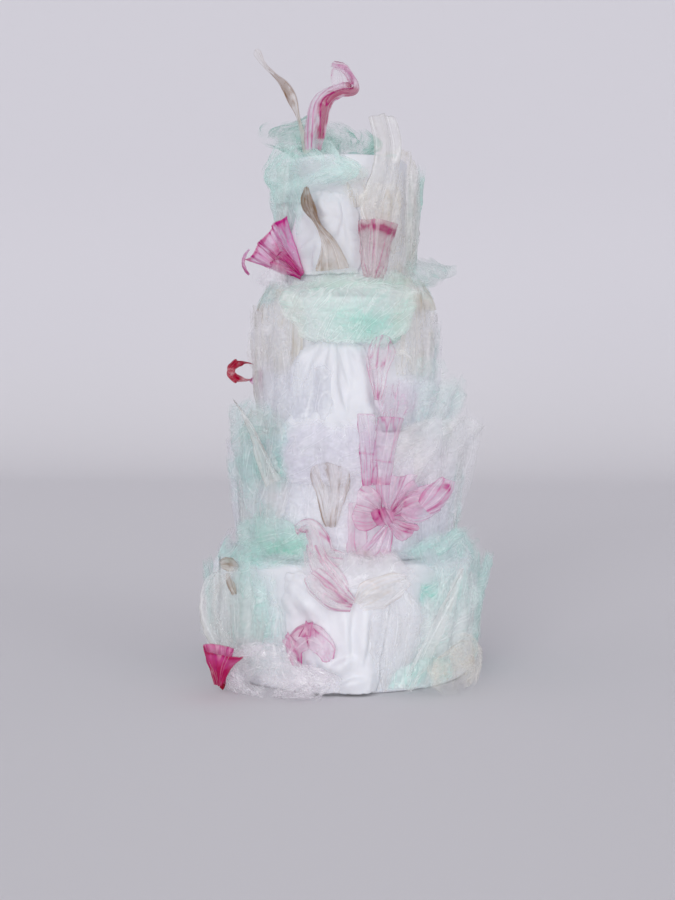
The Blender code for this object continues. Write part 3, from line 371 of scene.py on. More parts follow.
# Thin films and curls that lie between the nodes at the front.
EXTRAS = (
    sail("cream_panel_top", 4, (36, 364, 3, 61, 364, 6), (38, 420, 4, 63, 420, 8), (36, 486, 3, 61, 486, 6),
        pleats=2, depth=1.5, cells=(4, 5)),
    sail("cream_cone_top", 4, (14, 423, 19, 44, 423, 19), (9, 440, 20, 47, 440, 20),
        (12, 458, 17, 49, 461, 17), bulge=6, pleats=3, depth=2, cells=(5, 4)),
    sail("mint_ledge_film", 3, (-56, 358, -6, 62, 358, -6), (-60, 372, -4, 66, 372, -3),
        (-50, 390, -2, 58, 388, 0), pleats=3, depth=2, tip_cut=0.1, cells=(7, 4)),
    sail("lilac_film_fan", 4, (-88, 366, 24, -42, 366, 8), (-92, 378, 26, -46, 380, 10),
        (-84, 392, 22, -48, 396, 10), pleats=2, depth=2, cells=(5, 4)),
    sail("clear_film_low_left", 3, (-76, 232, 22, -30, 230, 24), (-76, 262, 14, -34, 262, 12),
        (-68, 296, 8, -42, 296, 6), coating="lilac", pleats=3, depth=2, cells=(5, 5)),
    sail("clear_film_low_right", 3, (36, 230, 22, 92, 228, 26), (38, 262, 14, 104, 258, 28),
        (46, 292, 10, 98, 286, 28), coating="lilac", pleats=3, depth=2, cells=(5, 5)),
    sail("mint_film_far_right", 3, (52, 268, 12, 84, 262, 16), (58, 292, 12, 96, 288, 24),
        (62, 312, 10, 84, 306, 20), pleats=3, depth=2, cells=(5, 4)),
    ribbon("cream_curl_right", 3, (44, 302, 10, 6, 0, -60), (50, 306, 14, 9, 20, -120),
        (58, 300, 15, 10, 20, -120), (62, 290, 12, 6, 0, -60), cells=(3, 5)),
    sail("lilac_veil_left", 2, (-96, 118, 3, -34, 118, 3), (-98, 176, 5, -30, 176, 4),
        (-90, 236, 8, -34, 236, 6), bulge=2, pleats=3, depth=2, cells=(6, 5)),
    sail("lilac_veil_front", 2, (-40, 118, 3, 36, 118, 3), (-42, 172, 4, 36, 172, 4),
        (-38, 224, 6, 34, 224, 6), bulge=2, pleats=3, depth=2, cells=(6, 5)),
    sail("lilac_veil_low_right", 2, (28, 118, 3, 98, 118, 4), (30, 172, 5, 100, 172, 6),
        (30, 236, 8, 96, 232, 10), bulge=2, pleats=3, depth=2, cells=(6, 5)),
    sail("clear_veil_base_left", 1, (-116, 6, 4, -60, 4, 3), (-122, 60, 6, -66, 60, 4),
        (-112, 118, 6, -70, 116, 4), bulge=2, pleats=4, depth=2, cells=(6, 5)),
    sail("clear_film_front", 1, (34, 14, 14, 66, 8, 16), (32, 52, 13, 70, 52, 18), (28, 104, 12, 62, 108, 16),
        bulge=4, pleats=2, depth=2, cells=(5, 5)),
    ribbon("beige_oval", 1, (-116, 110, 18, 6, 0, 20), (-110, 112, 18, 14, 0, 30), (-102, 112, 16, 14, 0, 30),
        (-96, 110, 14, 6, 0, 20), cells=(3, 4)),
    ribbon("beige_smear", 1, (-100, 84, 14, 6, 0, 20), (-104, 94, 15, 12, 0, 30), (-106, 106, 16, 8, 0, 30),
        cells=(3, 3)),
    ribbon("crimson_bit", 1, (-112, 1.5, 36, 4, 0, 20), (-110, 5, 36, 6, 10, 40), (-108, 9, 35, 4, 20, 40),
        cells=(2, 3)),
    sail("pink_petal_inner", 2, (36, 166, 14, 42, 166, 14), (28, 180, 18, 56, 182, 18),
        (24, 196, 18, 66, 198, 18), bulge=4, pleats=3, depth=2, cells=(5, 4)),
    sail("pink_petal_outer", 2, (48, 158, 16, 52, 176, 16), (62, 150, 20, 68, 186, 20),
        (88, 158, 26, 90, 184, 26), bulge=4, pleats=2, depth=2, cells=(5, 4)),
    sail("pink_petal_under", 2, (34, 150, 14, 42, 150, 14), (14, 132, 14, 40, 128, 14),
        (0, 116.5, 12, 30, 116.5, 12), bulge=2, pleats=3, depth=2, cells=(5, 4)),
    sail("mint_ledge_low_left", 1, (-110, 108, 5, -22, 108, 5), (-104, 119, -6, -24, 119, -8),
        (-96, 134, -16, -26, 136, -16), bulge=3, pleats=3, depth=2, cells=(7, 5)),
    sail("mint_ledge_low_right", 1, (50, 110, 5, 118, 108, 8), (46, 121, -8, 114, 120, -2),
        (40, 136, -16, 108, 138, -12), bulge=3, pleats=3, depth=2, cells=(7, 5)),
    sail("cream_ledge_front", 1, (-40, 108, 5, 60, 106, 6), (-38, 118, -4, 56, 118, -4),
        (-34, 128, -15, 48, 130, -15), bulge=4, pleats=3, depth=2, cells=(7, 5)),
    sail("lilac_veil_seam", 2, (-62, 186, 8, 28, 184, 9), (-64, 212, 12, 28, 212, 12),
        (-60, 250, 10, 22, 250, 10), bulge=2, pleats=3, depth=2, cells=(7, 5)),
    sail("mint_film_base_mid", 1, (-92, 4, 4, -44, 4, 5), (-90, 60, 4, -46, 60, 5),
        (-90, 114, 5, -52, 114, 5), bulge=2, pleats=3, depth=2, cells=(6, 5)),
    sail("pink_wisp_top", ON_TOP, (-14, 546, 46, 4, 550, 46), (-16, 558, 46, 5, 560, 46),
        (-16, 571, 46, -3, 570, 46), bulge=3, pleats=2, depth=1.5, cells=(4, 4)),
    sail("mint_haze_left", 2, (-100, 120, 12, -60, 120, 10), (-112, 180, 18, -62, 184, 10),
        (-112, 240, 24, -60, 250, 10), bulge=3, pleats=3, depth=3, cells=(6, 5)),
    sail("lilac_haze_right", 2, (60, 150, 10, 104, 140, 12), (64, 200, 16, 120, 190, 24),
        (60, 262, 20, 128, 262, 36), bulge=3, pleats=3, depth=3, cells=(6, 5)),
    sail("mint_haze_low_right", 1, (70, 60, 12, 122, 60, 20), (72, 110, 12, 128, 112, 26),
        (60, 150, 6, 128, 160, 30), bulge=3, pleats=3, depth=3, cells=(6, 5)),
    sail("cream_film_top", 4, (-8, 438, 5, 26, 440, 5), (-8, 462, 5, 24, 462, 5), (-12, 486, 5, 22, 488, 5),
        bulge=1, pleats=2, depth=1, cells=(4, 4)),
    ribbon("magenta_curl_left", 4, (-92, 404, 28, 8, 0, -120), (-98, 396, 29, 6, 0, -160),
        (-98, 388, 30, 6, 0, -180), (-91, 379, 29, 5, 0, -160), cells=(3, 5)),
    sail("mint_film_base_low", 1, (34, 2, 17, 94, 2, 20), (38, 18, 16, 98, 20, 20), (44, 38, 15, 92, 42, 18),
        bulge=3, pleats=3, depth=2, cells=(6, 4)),
    sail("lilac_veil_drape", 3, (-66, 226, 27, -12, 226, 27), (-66, 256, 16, -8, 256, 16),
        (-60, 306, 9, -10, 312, 8), bulge=2, pleats=3, depth=2, cells=(6, 5)),
    sail("pink_haze_right", 3, (24, 240, 22, 62, 242, 24), (24, 262, 14, 66, 264, 18),
        (30, 286, 12, 62, 286, 16), bulge=3, pleats=3, depth=2, cells=(5, 4)),
    sail("pink_hood_tip", 1, (-44, 54, 17, -22, 54, 18), (-39, 61, 18, -25, 61, 19),
        (-33, 70, 18, -30, 70, 18), bulge=2, pleats=3, depth=1, cells=(4, 4)),
    sail("pink_hood_flap", 1, (-42, 28, 13, -40, 48, 15), (-50, 36, 15, -46, 55, 17),
        (-56, 48, 15, -50, 60, 17), bulge=2, pleats=3, depth=1, cells=(4, 4)),
    sail("lilac_ledge_cover", 1, (-46, 98, 15, 66, 96, 15), (-44, 112, 11, 64, 112, 11),
        (-40, 125, -6, 58, 125, -6), bulge=2, pleats=3, depth=2, cells=(7, 4)),
    ribbon("magenta_funnel_back", 1, (-108, 9, 42, 5, 0, 120), (-109, 20, 43, 18, 0, 170),
        (-110, 31, 44, 36, 0, 190), (-109, 44, 45, 50, 0, 190), cells=(6, 4)),
    sail("lilac_film_crown", ON_TOP, (-34, 492, 10, 44, 492, 4), (-40, 496, -12, 48, 495, -16),
        (-30, 492, -40, 32, 492, -44), bulge=3, pleats=3, depth=2, cells=(6, 5)),
    sail("mint_film_crown", ON_TOP, (-12, 491, 2, 46, 491, 0), (-4, 498, -16, 50, 495, -20),
        (-10, 491, -40, 34, 491, -46), bulge=4, pleats=3, depth=2, cells=(6, 5)),
    sail("mint_edge_low_left", ON_TOP, (-136, 6, 20, -92, 6, 86), (-138, 60, 24, -94, 60, 92),
        (-134, 113, 20, -92, 113, 86), bulge=3, pleats=2, depth=2, cells=(6, 5)),
    sail("mint_edge_top_left", ON_TOP, (-70, 396, 10, -38, 396, 50), (-72, 440, 12, -40, 440, 52),
        (-66, 486, 10, -38, 486, 48), bulge=3, pleats=2, depth=2, cells=(5, 5)),
    sail("magenta_heart", 2, (30, 149, 21, 48, 151, 21), (23, 158, 24, 43, 161, 24),
        (21, 167, 22, 36, 171, 21), bulge=2, pleats=3, depth=2, cells=(4, 4)),
    ribbon("pink_bow_bridge", 1, (-31, 133, 8, 18, 0, -60), (-25, 118, 15, 25, 0, -90),
        (-15, 104, 18, 28, 0, -90), (-2, 90, 17, 18, 0, -60), pleats=2, depth=1, cells=(5, 5)),
    sail("lilac_crown_cover", ON_TOP, (-46, 491, 4, 20, 491, 20), (-50, 495, -22, 34, 494, -22),
        (-24, 491, -48, 30, 491, -48), bulge=3, pleats=3, depth=2, cells=(6, 5)),
)

# Finer outlines for pieces whose solid is a plainer form, and the cut of their tips.
SHAPED_TIP_CUT = 0.03
SHAPED = {
    "crimson_curl": (
        (-86, 296, 12, 10, 70, 20), (-97, 297, 18, 11, 70, 20), (-105, 292, 24, 9.5, 70, 20),
        (-106, 288, 25, 9, 70, 20), (-105, 284, 24, 9.5, 70, 20), (-97, 279, 18, 11, 70, 20),
        (-86, 279, 12, 9, 70, 20),
    ),
    "cream_panel_left": (
        (-77, 286, 3, -40, 284, 3), (-79, 320, 5, -38, 320, 3), (-78, 348, 4, -38, 348, 3),
        (-75, 366, 2, -38, 362, 1),
    ),
    "cream_panel_right": (
        (42, 284, 3, 79, 284, 4), (42, 320, 4, 81, 322, 6), (40, 348, 3, 79, 348, 5),
        (40, 363, 2, 75, 366, 2),
    ),
    "mint_drape_upper": (
        (-54, 371, -16, 50, 371, -16), (-58, 358, 4, 58, 358, 4), (-57, 340, 5, 58, 341, 5),
        (-48, 324, 6, 52, 321, 6), (-34, 312, 7, 38, 309, 7),
    ),
    "beige_twist": (
        (-10, 380, 5, 27, 0, -30), (-13, 402, 6, 14, 10, -90), (-21, 421, 7, 8, 50, -120),
        (-29, 440, 8, 11, 10, -110), (-30, 457, 9, 3, 0, -60),
    ),
    "pink_tube_left": (
        (20, 186, 7, 13, 0, -100), (18, 218, 9, 15, 0, -150), (16, 254, 13, 18, 0, -170),
    ),
    "pink_tube_right": (
        (27, 188, 7, 16, 0, -100), (30, 216, 9, 20, 0, -150), (36, 251, 13, 25, 0, -170),
    ),
    "pink_arch": (
        (-43, 26, 9, 12, 20, -60), (-46, 44, 13, 21, 20, -100), (-33, 56, 17, 24, 20, -110),
        (-19, 46, 15, 20, 20, -100), (-15, 31, 11, 11, 20, -60),
    ),
    "magenta_funnel": (
        (-108, 9, 42, 5, 0, -120), (-109, 20, 43, 18, 0, -170), (-110, 31, 44, 36, 0, -190),
        (-109, 42, 45, 50, 0, -190),
    ),
    "magenta_fan": (
        (-43, 375, 6, -40, 378, 6), (-60, 380, 12, -46, 398, 9), (-80, 388, 20, -52, 416, 13),
        (-100, 394, 30, -59, 437, 18),
    ),
    "clear_fold_right": (
        (13, 404, 6, 44, 400, 5), (11, 428, 8, 49, 424, 6), (14, 452, 8, 47, 455, 6),
        (23, 474, 8, 47, 476, 6), (25, 498, 8, 48, 500, 6), (18, 530, 8, 42, 523, 6),
    ),
    "pink_cone": (
        (22, 374, 9, 14, 0, -90), (24, 388, 11, 26, 0, -140), (26, 408, 13, 34, 0, -160),
        (29, 428, 15, 47, 0, -170),
    ),
    "beige_spike": (
        (-38, 493, 29, 8, 0, -60), (-42, 506, 30, 7, 30, -110), (-47, 526, 30, 5, 40, -120),
        (-53, 543, 30, 11, 20, -100), (-60, 556, 30, 9, 20, -100), (-69, 565, 30, 5, 30, -110),
        (-79, 575, 30, 5, 30, -90), (-88, 590, 30, 10, 0, -50),
    ),
    "pink_ribbon_top": (
        (-32, 493, 44, 16, 0, -60), (-30, 515, 44, 21, 0, -100), (-27, 533, 45, 23, 10, -110),
        (-20, 543, 46, 18, 10, -110), (-7, 549, 46, 14, 10, -90), (4, 550, 46, 12, 0, -60),
        (4, 557, 46, 5, 0, -40), (-4, 568, 46, 4, 0, -30), (-18, 572, 46, 3, 0, -20),
    ),
}

# Folds of the draped fondant: from a, b to a, b in mm over the drape, with the width and height.
DRAPE_FOLDS = {
    "fondant_drape_back": (
        (10, 84, 26, 22, 8, 3.5), (32, 88, 38, 40, 6, 3), (56, 84, 46, 12, 8, 3.5), (20, 26, 60, 16, 8, 3),
    ),
    "fondant_panel_back": (
        (8, 92, 34, 12, 12, 4.5), (46, 98, 58, 34, 9, 4), (88, 96, 72, 8, 12, 4.5), (18, 34, 92, 16, 10, 4),
        (104, 84, 112, 20, 9, 4),
    ),
    "fondant_drape_top": (
        (8, 6, 16, 66, 7, 2.5), (24, 70, 44, 50, 6, 3), (42, 74, 52, 50, 6, 3), (14, 66, 40, 46, 6, 3),
        (20, 18, 42, 34, 7, 3), (34, 4, 44, 28, 7, 3), (56, 6, 54, 30, 6, 3), (40, 48, 56, 50, 6, 3),
        (58, 50, 60, 34, 6, 3), (42, 32, 58, 28, 6, 2.5), (62, 70, 62, 44, 6, 3),
    ),
    "fondant_drape_middle": (
        (52, 96, 66, 36, 12, 6.0), (46, 96, 56, 40, 3.5, -3.5), (40, 94, 30, 50, 9, 3.5),
        (30, 90, 12, 46, 9, 3.0), (60, 92, 74, 60, 7, 2.5), (20, 44, 44, 8, 11, 3), (56, 34, 70, 4, 9, 3),
        (38, 60, 38, 24, 9, 2), (84, 60, 80, 16, 8, 2.5),
    ),
    "fondant_front": (
        (6, 92, 50, 60, 13, 4.5), (50, 60, 44, 20, 12, 3), (56, 92, 92, 88, 8, 4.5), (72, 78, 74, 20, 12, 4),
        (12, 10, 60, 6, 9, 6), (92, 80, 90, 20, 9, 4), (26, 24, 48, 12, 8, 5), (50, 18, 88, 30, 10, 5),
        (62, 6, 100, 10, 8, 5), (34, 4, 40, 22, 6, 4),
    ),
}

# Coatings of the films round the sides and back of each tier, in turn, and over its ledge.
ROUND_COATINGS = {
    1: ("clear", "mint", "lilac", "mint", "clear", "lilac", "mint", "clear"),
    2: ("lilac", "clear", "mint", "lilac", "mint", "clear", "lilac", "clear"),
    3: ("lilac", "mint", "clear", "cream", "mint", "clear", "lilac"),
    4: ("clear", "mint", "cream", "lilac", "mint", "clear"),
}
LEDGE_COATINGS = ("mint", "lilac", "mint", "cream", "mint")
LEDGE_FILMS = 7
# The turn in degrees of the first film and the turn to the last, or to the next one over a ledge.
FIRST_TURN = 62
TURN_TO_LAST = 236
FIRST_LEDGE_TURN = 60
TURN_TO_NEXT = 39

# Pink pieces round the sides and back: tier, turn, height of the root, length in mm, directions in degrees.
ROUND_FANS = (
    (4, 142, 384, 54, (14,)), (4, 216, 404, 30, (-60, -10)), (3, 170, 262, 40, (-12, 38)),
    (3, 236, 300, 34, (150,)), (2, 152, 176, 42, (-112, -58, 0, 54, 118)), (2, 226, 140, 54, (-16,)),
    (1, 124, 28, 58, (8,)), (1, 196, 74, 36, (-30, 24, 160)),
)
# A fan's or strip's shape: shares of its length, with the half width or sway, and how far out it stands.
FAN_SHAPE = ((0.0, 0.08, 7), (0.45, 0.31, 11), (1.0, 0.50, 15))
STRIP_SHAPE = ((0.0, 0.0), (0.3, 3.0), (0.65, -3.0), (1.0, 4.0))
STRIP_OUT = 9
# Tall pink strips: tier, turn, height of the foot, length and width in mm.
ROUND_STRIPS = ((3, 126, 238, 92, 13), (4, 178, 366, 74, 10), (2, 200, 122, 80, 14), (1, 166, 12, 70, 12))


class Look(NamedTuple):
    """How a piece of film is worked: sizes in mm, shares from 0 to 1.

    crumple and scale are the height and size of its crumples, pleat and pitch those of the pleats along it.
    ragged is how far its outline wanders, soft the width over which it fades out at its edges.
    stop is the share of light it stops, depth its plain depth of colour, crease_dye_and_shade how much its
    creases deepen, partly as gathered dye and partly as painted crease shade, rim how much colour gathers
    along its edges, and glint how strongly a painted highlight whitens its crests.
    pools are spots of deeper colour: across, along, radius, strength. bands are the same, right across.
    fade is how much clearer it gets towards its tip, and taper how much narrower its ends are.
    curve is how square its outline is: 2 for an ellipse, more for rounded corners and 0 for none.
    light and deep are screen colours of its own. grain is the turn of its fine lines in radians.
    """

    crumple: float = 1.2
    scale: float = 9.0
    pleat: float = 1.5
    pitch: float = 7.0
    ragged: float = 2.5
    soft: float = 1.5
    layers: int = 1
    stop: float = 0.3
    depth: float = 0.15
    crease_dye_and_shade: float = 0.3
    rim: float = 0.3
    glint: float = 0.4
    pools: tuple = ()
    bands: tuple = ()
    fade: float = 0.2
    taper: float = 0.25
    frill: float = 1.5
    curve: float = 0.0
    grain: float = 0.0
    light: tuple = ()
    deep: tuple = ()


DRAPE_LOOK = Look(ragged=5.0, taper=0.1)
COATING_LOOKS = {
    "mint": Look(
        2.4, 17.0, 0.8, 9.0, 7.0, 14.0, 2, 0.36, 0.18, 0.12, 0.0, 0.3, fade=0.25, frill=3.0, curve=3.0),
    "clear": Look(0.9, 11.0, 2.2, 6.5, 3.0, 4.0, 1, 0.30, 0.08, 0.4, 0.3, 0.6, frill=2.0, curve=5.0),
    "cream": Look(0.7, 11.0, 1.8, 6.0, 2.5, 3.0, 1, 0.34, 0.13, 0.35, 0.4, 0.4, curve=7.0),
    "beige": Look(0.5, 8.0, 1.6, 5.0, 2.0, 1.0, 1, 0.55, 0.35, 0.6, 0.5, 0.3, fade=0.5),
    "pink": Look(0.7, 9.0, 1.6, 6.5, 2.0, 0.4, 1, 0.38, 0.10, 0.35, 0.9, 0.4),
    "magenta": Look(0.8, 9.0, 2.0, 6.0, 2.0, 0.4, 1, 0.50, 0.24, 0.8, 0.9, 0.3),
    "crimson": Look(
        0.4, 6.0, 0.5, 5.0, 0.8, 0.5, 1, 0.97, 0.9, 0.5, 0.3, 0.0, fade=0.0, taper=0.1, frill=0.3),
    "lilac": Look(1.8, 15.0, 0.8, 9.0, 5.0, 10.0, 1, 0.34, 0.10, 0.12, 0.0, 0.4, frill=3.0, curve=3.0),
}
# Pieces whose film, or the look that theirs starts from, isn't their coating's.
FILM_OF = {"white_sail_right": "lilac", "lilac_floss_base": "floss", "clear_veil_base_left": "lilac"}
LOOK_OF = {"white_sail_right": "lilac", "clear_spike_left": "cream", "clear_veil_base_left": "lilac"}
# What is different from its coating's look in each piece.
LOOKS = {
    "magenta_fan": dict(crease_dye_and_shade=1.0, stop=0.48, pleat=2.5, pools=((0.5, 0.0, 0.4, 1.1), (0.5, 0.5, 0.24, 0.9)),
        bands=((0.97, 0.04, 1.2),), fade=0.0, taper=0.0, frill=2.0, light=(250, 180, 238),
        deep=(214, 0, 142)),
    "pink_cone": dict(depth=0.08, rim=0.6, stop=0.5, bands=((0.86, 0.07, 0.9), (0.04, 0.08, 0.3)), fade=0.0,
        light=(222, 204, 206), deep=(176, 34, 104), taper=0.0, crumple=1.4, scale=6.0, pleat=0.4, pitch=12.0),
    "pink_ribbon_top": dict(depth=0.04, crease_dye_and_shade=1.0, pitch=7.0, pleat=2.2, stop=0.5, fade=0.3, rim=0.6,
        taper=0.0, light=(238, 216, 236), deep=(176, 4, 92), bands=((0.61, 0.06, 1.3),),
        pools=((0.8, 0.14, 0.18, 0.9), (0.75, 0.3, 0.18, 1.2), (0.6, 0.44, 0.18, 1.2))),
    "beige_twist": dict(stop=0.42, depth=0.3, rim=0.6, bands=((0.75, 0.25, 0.8),), fade=0.0,
        light=(236, 226, 214)),
    "beige_spike": dict(stop=0.36, depth=0.08, crease_dye_and_shade=0.7, rim=0.7, bands=((0.6, 0.2, 1.1),),
        light=(246, 240, 234), taper=0.0, deep=(150, 116, 88), ragged=0.8, frill=0.4, crumple=0.3, pleat=0.8),
    "beige_fan": dict(stop=0.3, depth=0.05, crease_dye_and_shade=0.5, rim=1.2, bands=((0.02, 0.1, 0.3),),
        light=(248, 243, 242), fade=0.0),
    "pink_tube_left": dict(stop=0.34, depth=0.03, crease_dye_and_shade=0.2, rim=1.3, pitch=18.0, pleat=0.5,
        bands=((0.0, 0.12, 0.5), (0.48, 0.012, 0.6)), fade=0.0, light=(232, 214, 232), taper=0.0),
    "pink_tube_right": dict(stop=0.34, depth=0.03, crease_dye_and_shade=0.25, rim=1.3, pitch=18.0, pleat=0.5,
        bands=((0.0, 0.12, 0.5), (0.4, 0.012, 0.5)), fade=0.0, light=(232, 214, 232), taper=0.0),
    "pink_petal_left": dict(stop=0.46, depth=0.14, crease_dye_and_shade=0.6, pools=((0.5, 0.0, 0.34, 0.8),), fade=0.1,
        light=(252, 238, 248)),
    "pink_petal_right": dict(stop=0.4, depth=0.14, crease_dye_and_shade=0.6, pools=((0.5, 0.0, 0.4, 0.7),), fade=0.1,
        light=(252, 234, 246)),
    "magenta_petal_low": dict(depth=0.28, crease_dye_and_shade=0.6, pools=((0.4, 0.7, 0.3, 0.4),), fade=0.1,
        light=(252, 222, 242)),
    "pink_petal_lobe": dict(stop=0.45, depth=0.12, crease_dye_and_shade=0.5, pools=((0.5, 0.72, 0.16, 1.0),), fade=0.0),
    "pink_rope": dict(stop=0.3, depth=0.02, crease_dye_and_shade=0.8, rim=1.0, pitch=5.0, pleat=2.2, light=(246, 240, 244),
        deep=(184, 64, 126)),
    "pink_bow_bridge": dict(stop=0.16, depth=0.02, crease_dye_and_shade=0.6, rim=0.8, pitch=5.0, pleat=2.4,
        light=(247, 243, 245), deep=(186, 90, 136), fade=0.0, taper=0.1),
    "cream_bow_right": dict(stop=0.4, depth=0.03, crease_dye_and_shade=0.5, rim=0.7, pitch=7.0, pleat=2.2, curve=0.0,
        soft=1.2, light=(252, 251, 250), deep=(206, 182, 178), taper=0.1),
    "pink_bow_left": dict(stop=0.28, depth=0.02, crease_dye_and_shade=0.5, rim=0.8, pitch=6.0, pleat=2.2,
        pools=((0.5, 0.0, 0.2, 0.8),), light=(247, 242, 245), deep=(190, 56, 124)),
    "pink_strip": dict(stop=0.4, depth=0.08, crease_dye_and_shade=0.4, rim=0.6, light=(244, 232, 240)),
    "pink_arch": dict(stop=0.4, depth=0.12, crease_dye_and_shade=1.0, rim=1.2, pitch=5.0, pleat=1.8,
        bands=((0.5, 0.06, 0.6), (0.05, 0.1, 0.4)), light=(252, 232, 246)),
    "magenta_funnel": dict(stop=0.92, depth=0.55, crease_dye_and_shade=0.5, bands=((0.95, 0.05, 0.9), (0.2, 0.25, 0.9)),
        fade=0.0, taper=0.0, light=(238, 100, 184), deep=(190, 0, 92)),
    "crimson_curl": dict(depth=0.5, stop=1.0, light=(204, 0, 58), deep=(150, 0, 50), taper=0.02),
    "pink_edge_curl": dict(stop=0.24, depth=0.02, crease_dye_and_shade=0.5, rim=1.0,
        pools=((0.5, 0.0, 0.16, 1.0), (0.66, 0.5, 0.16, 0.5)), fade=0.0, light=(246, 241, 246)),
    "mint_drape_upper": dict(depth=0.04, pools=((0.68, 0.66, 0.3, 0.42),), stop=0.42, scale=20.0, soft=6.0,
        curve=0.0, grain=1.4, ragged=8.0, frill=4.0, light=(250, 255, 252)),
    "mint_sail_low_left": dict(depth=0.12, pools=((0.78, 0.2, 0.34, 0.42), (0.95, 0.1, 0.08, 0.6)), soft=8.0,
        deep=(132, 222, 194)),
    "mint_sail_left": dict(stop=0.26, depth=0.08, pools=((0.7, 0.3, 0.3, 0.3),), light=(228, 238, 240)),
    "mint_brim_right": dict(depth=0.2, pools=((0.5, 0.3, 0.3, 0.25),)),
    "mint_sail_base_right": dict(depth=0.03, stop=0.32, pools=((0.1, 0.8, 0.12, 0.9), (0.1, 0.1, 0.2, 0.5)),
        light=(246, 250, 250)),
    "mint_sail_right": dict(stop=0.24, depth=0.06, light=(226, 236, 236)),
    "mint_film_crown": dict(stop=0.5, depth=0.12, curve=2.4, soft=5.0),
    "lilac_crown_cover": dict(stop=0.5, curve=2.4, soft=5.0),
    "lilac_film_crown": dict(stop=0.5, curve=2.4, soft=5.0),
    "mint_film_base_low": dict(stop=0.5, depth=0.2, soft=5.0, layers=1, glint=0.7, rim=0.2),
    "lilac_ledge_cover": dict(stop=0.55, soft=7.0, light=(250, 250, 252), depth=0.02, layers=2),
    "magenta_funnel_back": dict(stop=0.85, depth=0.2, crease_dye_and_shade=0.4, rim=1.0, fade=0.0, taper=0.0,
        light=(240, 140, 200), deep=(180, 0, 84)),
    "clear_veil_base_left": dict(stop=0.36, light=(246, 251, 251), depth=0.02),
    "lilac_veil_front": dict(depth=0.03, stop=0.4),
    "lilac_veil_drape": dict(depth=0.04, stop=0.5, soft=12.0, light=(240, 242, 246), pleat=2.0),
    "pink_haze_right": dict(stop=0.2, soft=8.0, curve=2.4, rim=0.0, light=(240, 228, 240)),
    "pink_hood_tip": dict(stop=0.42, depth=0.16, crease_dye_and_shade=0.8, rim=1.0),
    "pink_hood_flap": dict(stop=0.36, depth=0.12, crease_dye_and_shade=0.8, rim=1.0),
    "mint_leaf_right": dict(stop=0.16, depth=0.14, light=(196, 208, 206), soft=5.0, curve=4.0, glint=0.8),
    "mint_cloud_top": dict(stop=0.2, depth=0.3, scale=12.0, soft=12.0, curve=2.2, light=(200, 226, 220),
        deep=(120, 190, 170)),
    "mint_floss_top": dict(stop=0.19, depth=0.08, scale=14.0, soft=13.0, curve=2.2, glint=0.8,
        light=(238, 255, 252), deep=(140, 238, 218)),
    "mint_edge_low_left": dict(stop=0.5, depth=0.03, soft=13.0, layers=1, light=(250, 254, 253)),
    "mint_edge_top_left": dict(stop=0.45, depth=0.08, soft=11.0, layers=1, light=(240, 252, 250)),
    "magenta_heart": dict(stop=0.6, depth=0.36, soft=4.0, curve=2.2, rim=0.0, light=(248, 200, 232), fade=0.0,
        taper=0.0),
    "cream_panel_left": dict(stop=0.3, curve=0.0, soft=1.5, rim=0.7),
    "cream_panel_right": dict(stop=0.3, curve=0.0, soft=1.5, rim=0.7),
    "lilac_floss_base": dict(stop=0.11, depth=0.08, scale=7.0, crumple=1.4, soft=9.0, curve=2.2, glint=1.0,
        crease_dye_and_shade=0.0, light=(255, 253, 255), deep=(230, 212, 238)),
    "cream_crumple_right": dict(stop=0.1, depth=0.06, soft=9.0, curve=2.2, light=(248, 246, 242)),
    "clear_loop_left": dict(pitch=5.0, pleat=1.8, stop=0.2, curve=0.0, soft=1.2, glint=1.0,
        light=(255, 255, 253), deep=(172, 170, 164), rim=0.9),
    "clear_loop_right": dict(pitch=3.8, pleat=2.4, glint=1.0, stop=0.34, curve=0.0, soft=1.5),
    "clear_fold_right": dict(pitch=12.0, pleat=3.0, crumple=0.3, crease_dye_and_shade=0.3, stop=0.32, glint=0.9, taper=0.0,
        curve=0.0, soft=1.2, rim=1.2, fade=0.0, light=(252, 250, 248), deep=(158, 154, 146)),
    "clear_sail_front": dict(pitch=12.0, pleat=2.4, stop=0.24, crease_dye_and_shade=0.25, rim=0.5, light=(250, 250, 253),
        deep=(186, 186, 190)),
    "clear_film_front": dict(pitch=10.0, stop=0.14, crease_dye_and_shade=0.3, light=(250, 250, 253), deep=(186, 186, 190)),
    "white_sail_right": dict(stop=0.4, depth=0.06, scale=12.0, layers=2, curve=4.0),
    "cream_panel_top": dict(stop=0.14, depth=0.12, pleat=1.0, pitch=10.0),
    "cream_cone_top": dict(stop=0.24, depth=0.08, pitch=9.0, pleat=2.4, crease_dye_and_shade=0.4, curve=0.0, soft=1.5),
    "clear_spike_left": dict(pitch=3.5, glint=1.0, stop=0.62, crease_dye_and_shade=0.6, curve=0.0, soft=1.0, rim=0.9),
    "pink_wisp_top": dict(stop=0.16, depth=0.05, rim=0.5, fade=0.3),
    "mint_haze_left": dict(stop=0.3, depth=0.16, soft=22.0, layers=1, curve=2.2, light=(216, 232, 232)),
    "mint_haze_low_right": dict(stop=0.2, depth=0.12, soft=20.0, layers=1),
    "mint_film_far_right": dict(stop=0.14, depth=0.1, soft=10.0, layers=1, curve=2.2),
    "mint_film_base_mid": dict(stop=0.34, depth=0.05, layers=1),
    "cream_film_top": dict(stop=0.2, depth=0.22, soft=9.0, curve=2.6, deep=(200, 186, 160)),
    "magenta_curl_left": dict(depth=0.3, taper=0.0),
    "lilac_haze_right": dict(stop=0.3, depth=0.06, soft=20.0),
    "mint_ledge_film": dict(stop=0.3, depth=0.12, light=(240, 248, 240)),
    "cream_ledge_front": dict(depth=0.03, pleat=0.6, pitch=14.0, light=(250, 247, 247), deep=(206, 140, 170),
        soft=7.0),
    "lilac_veil_seam": dict(stop=0.5, soft=12.0, layers=2),
}


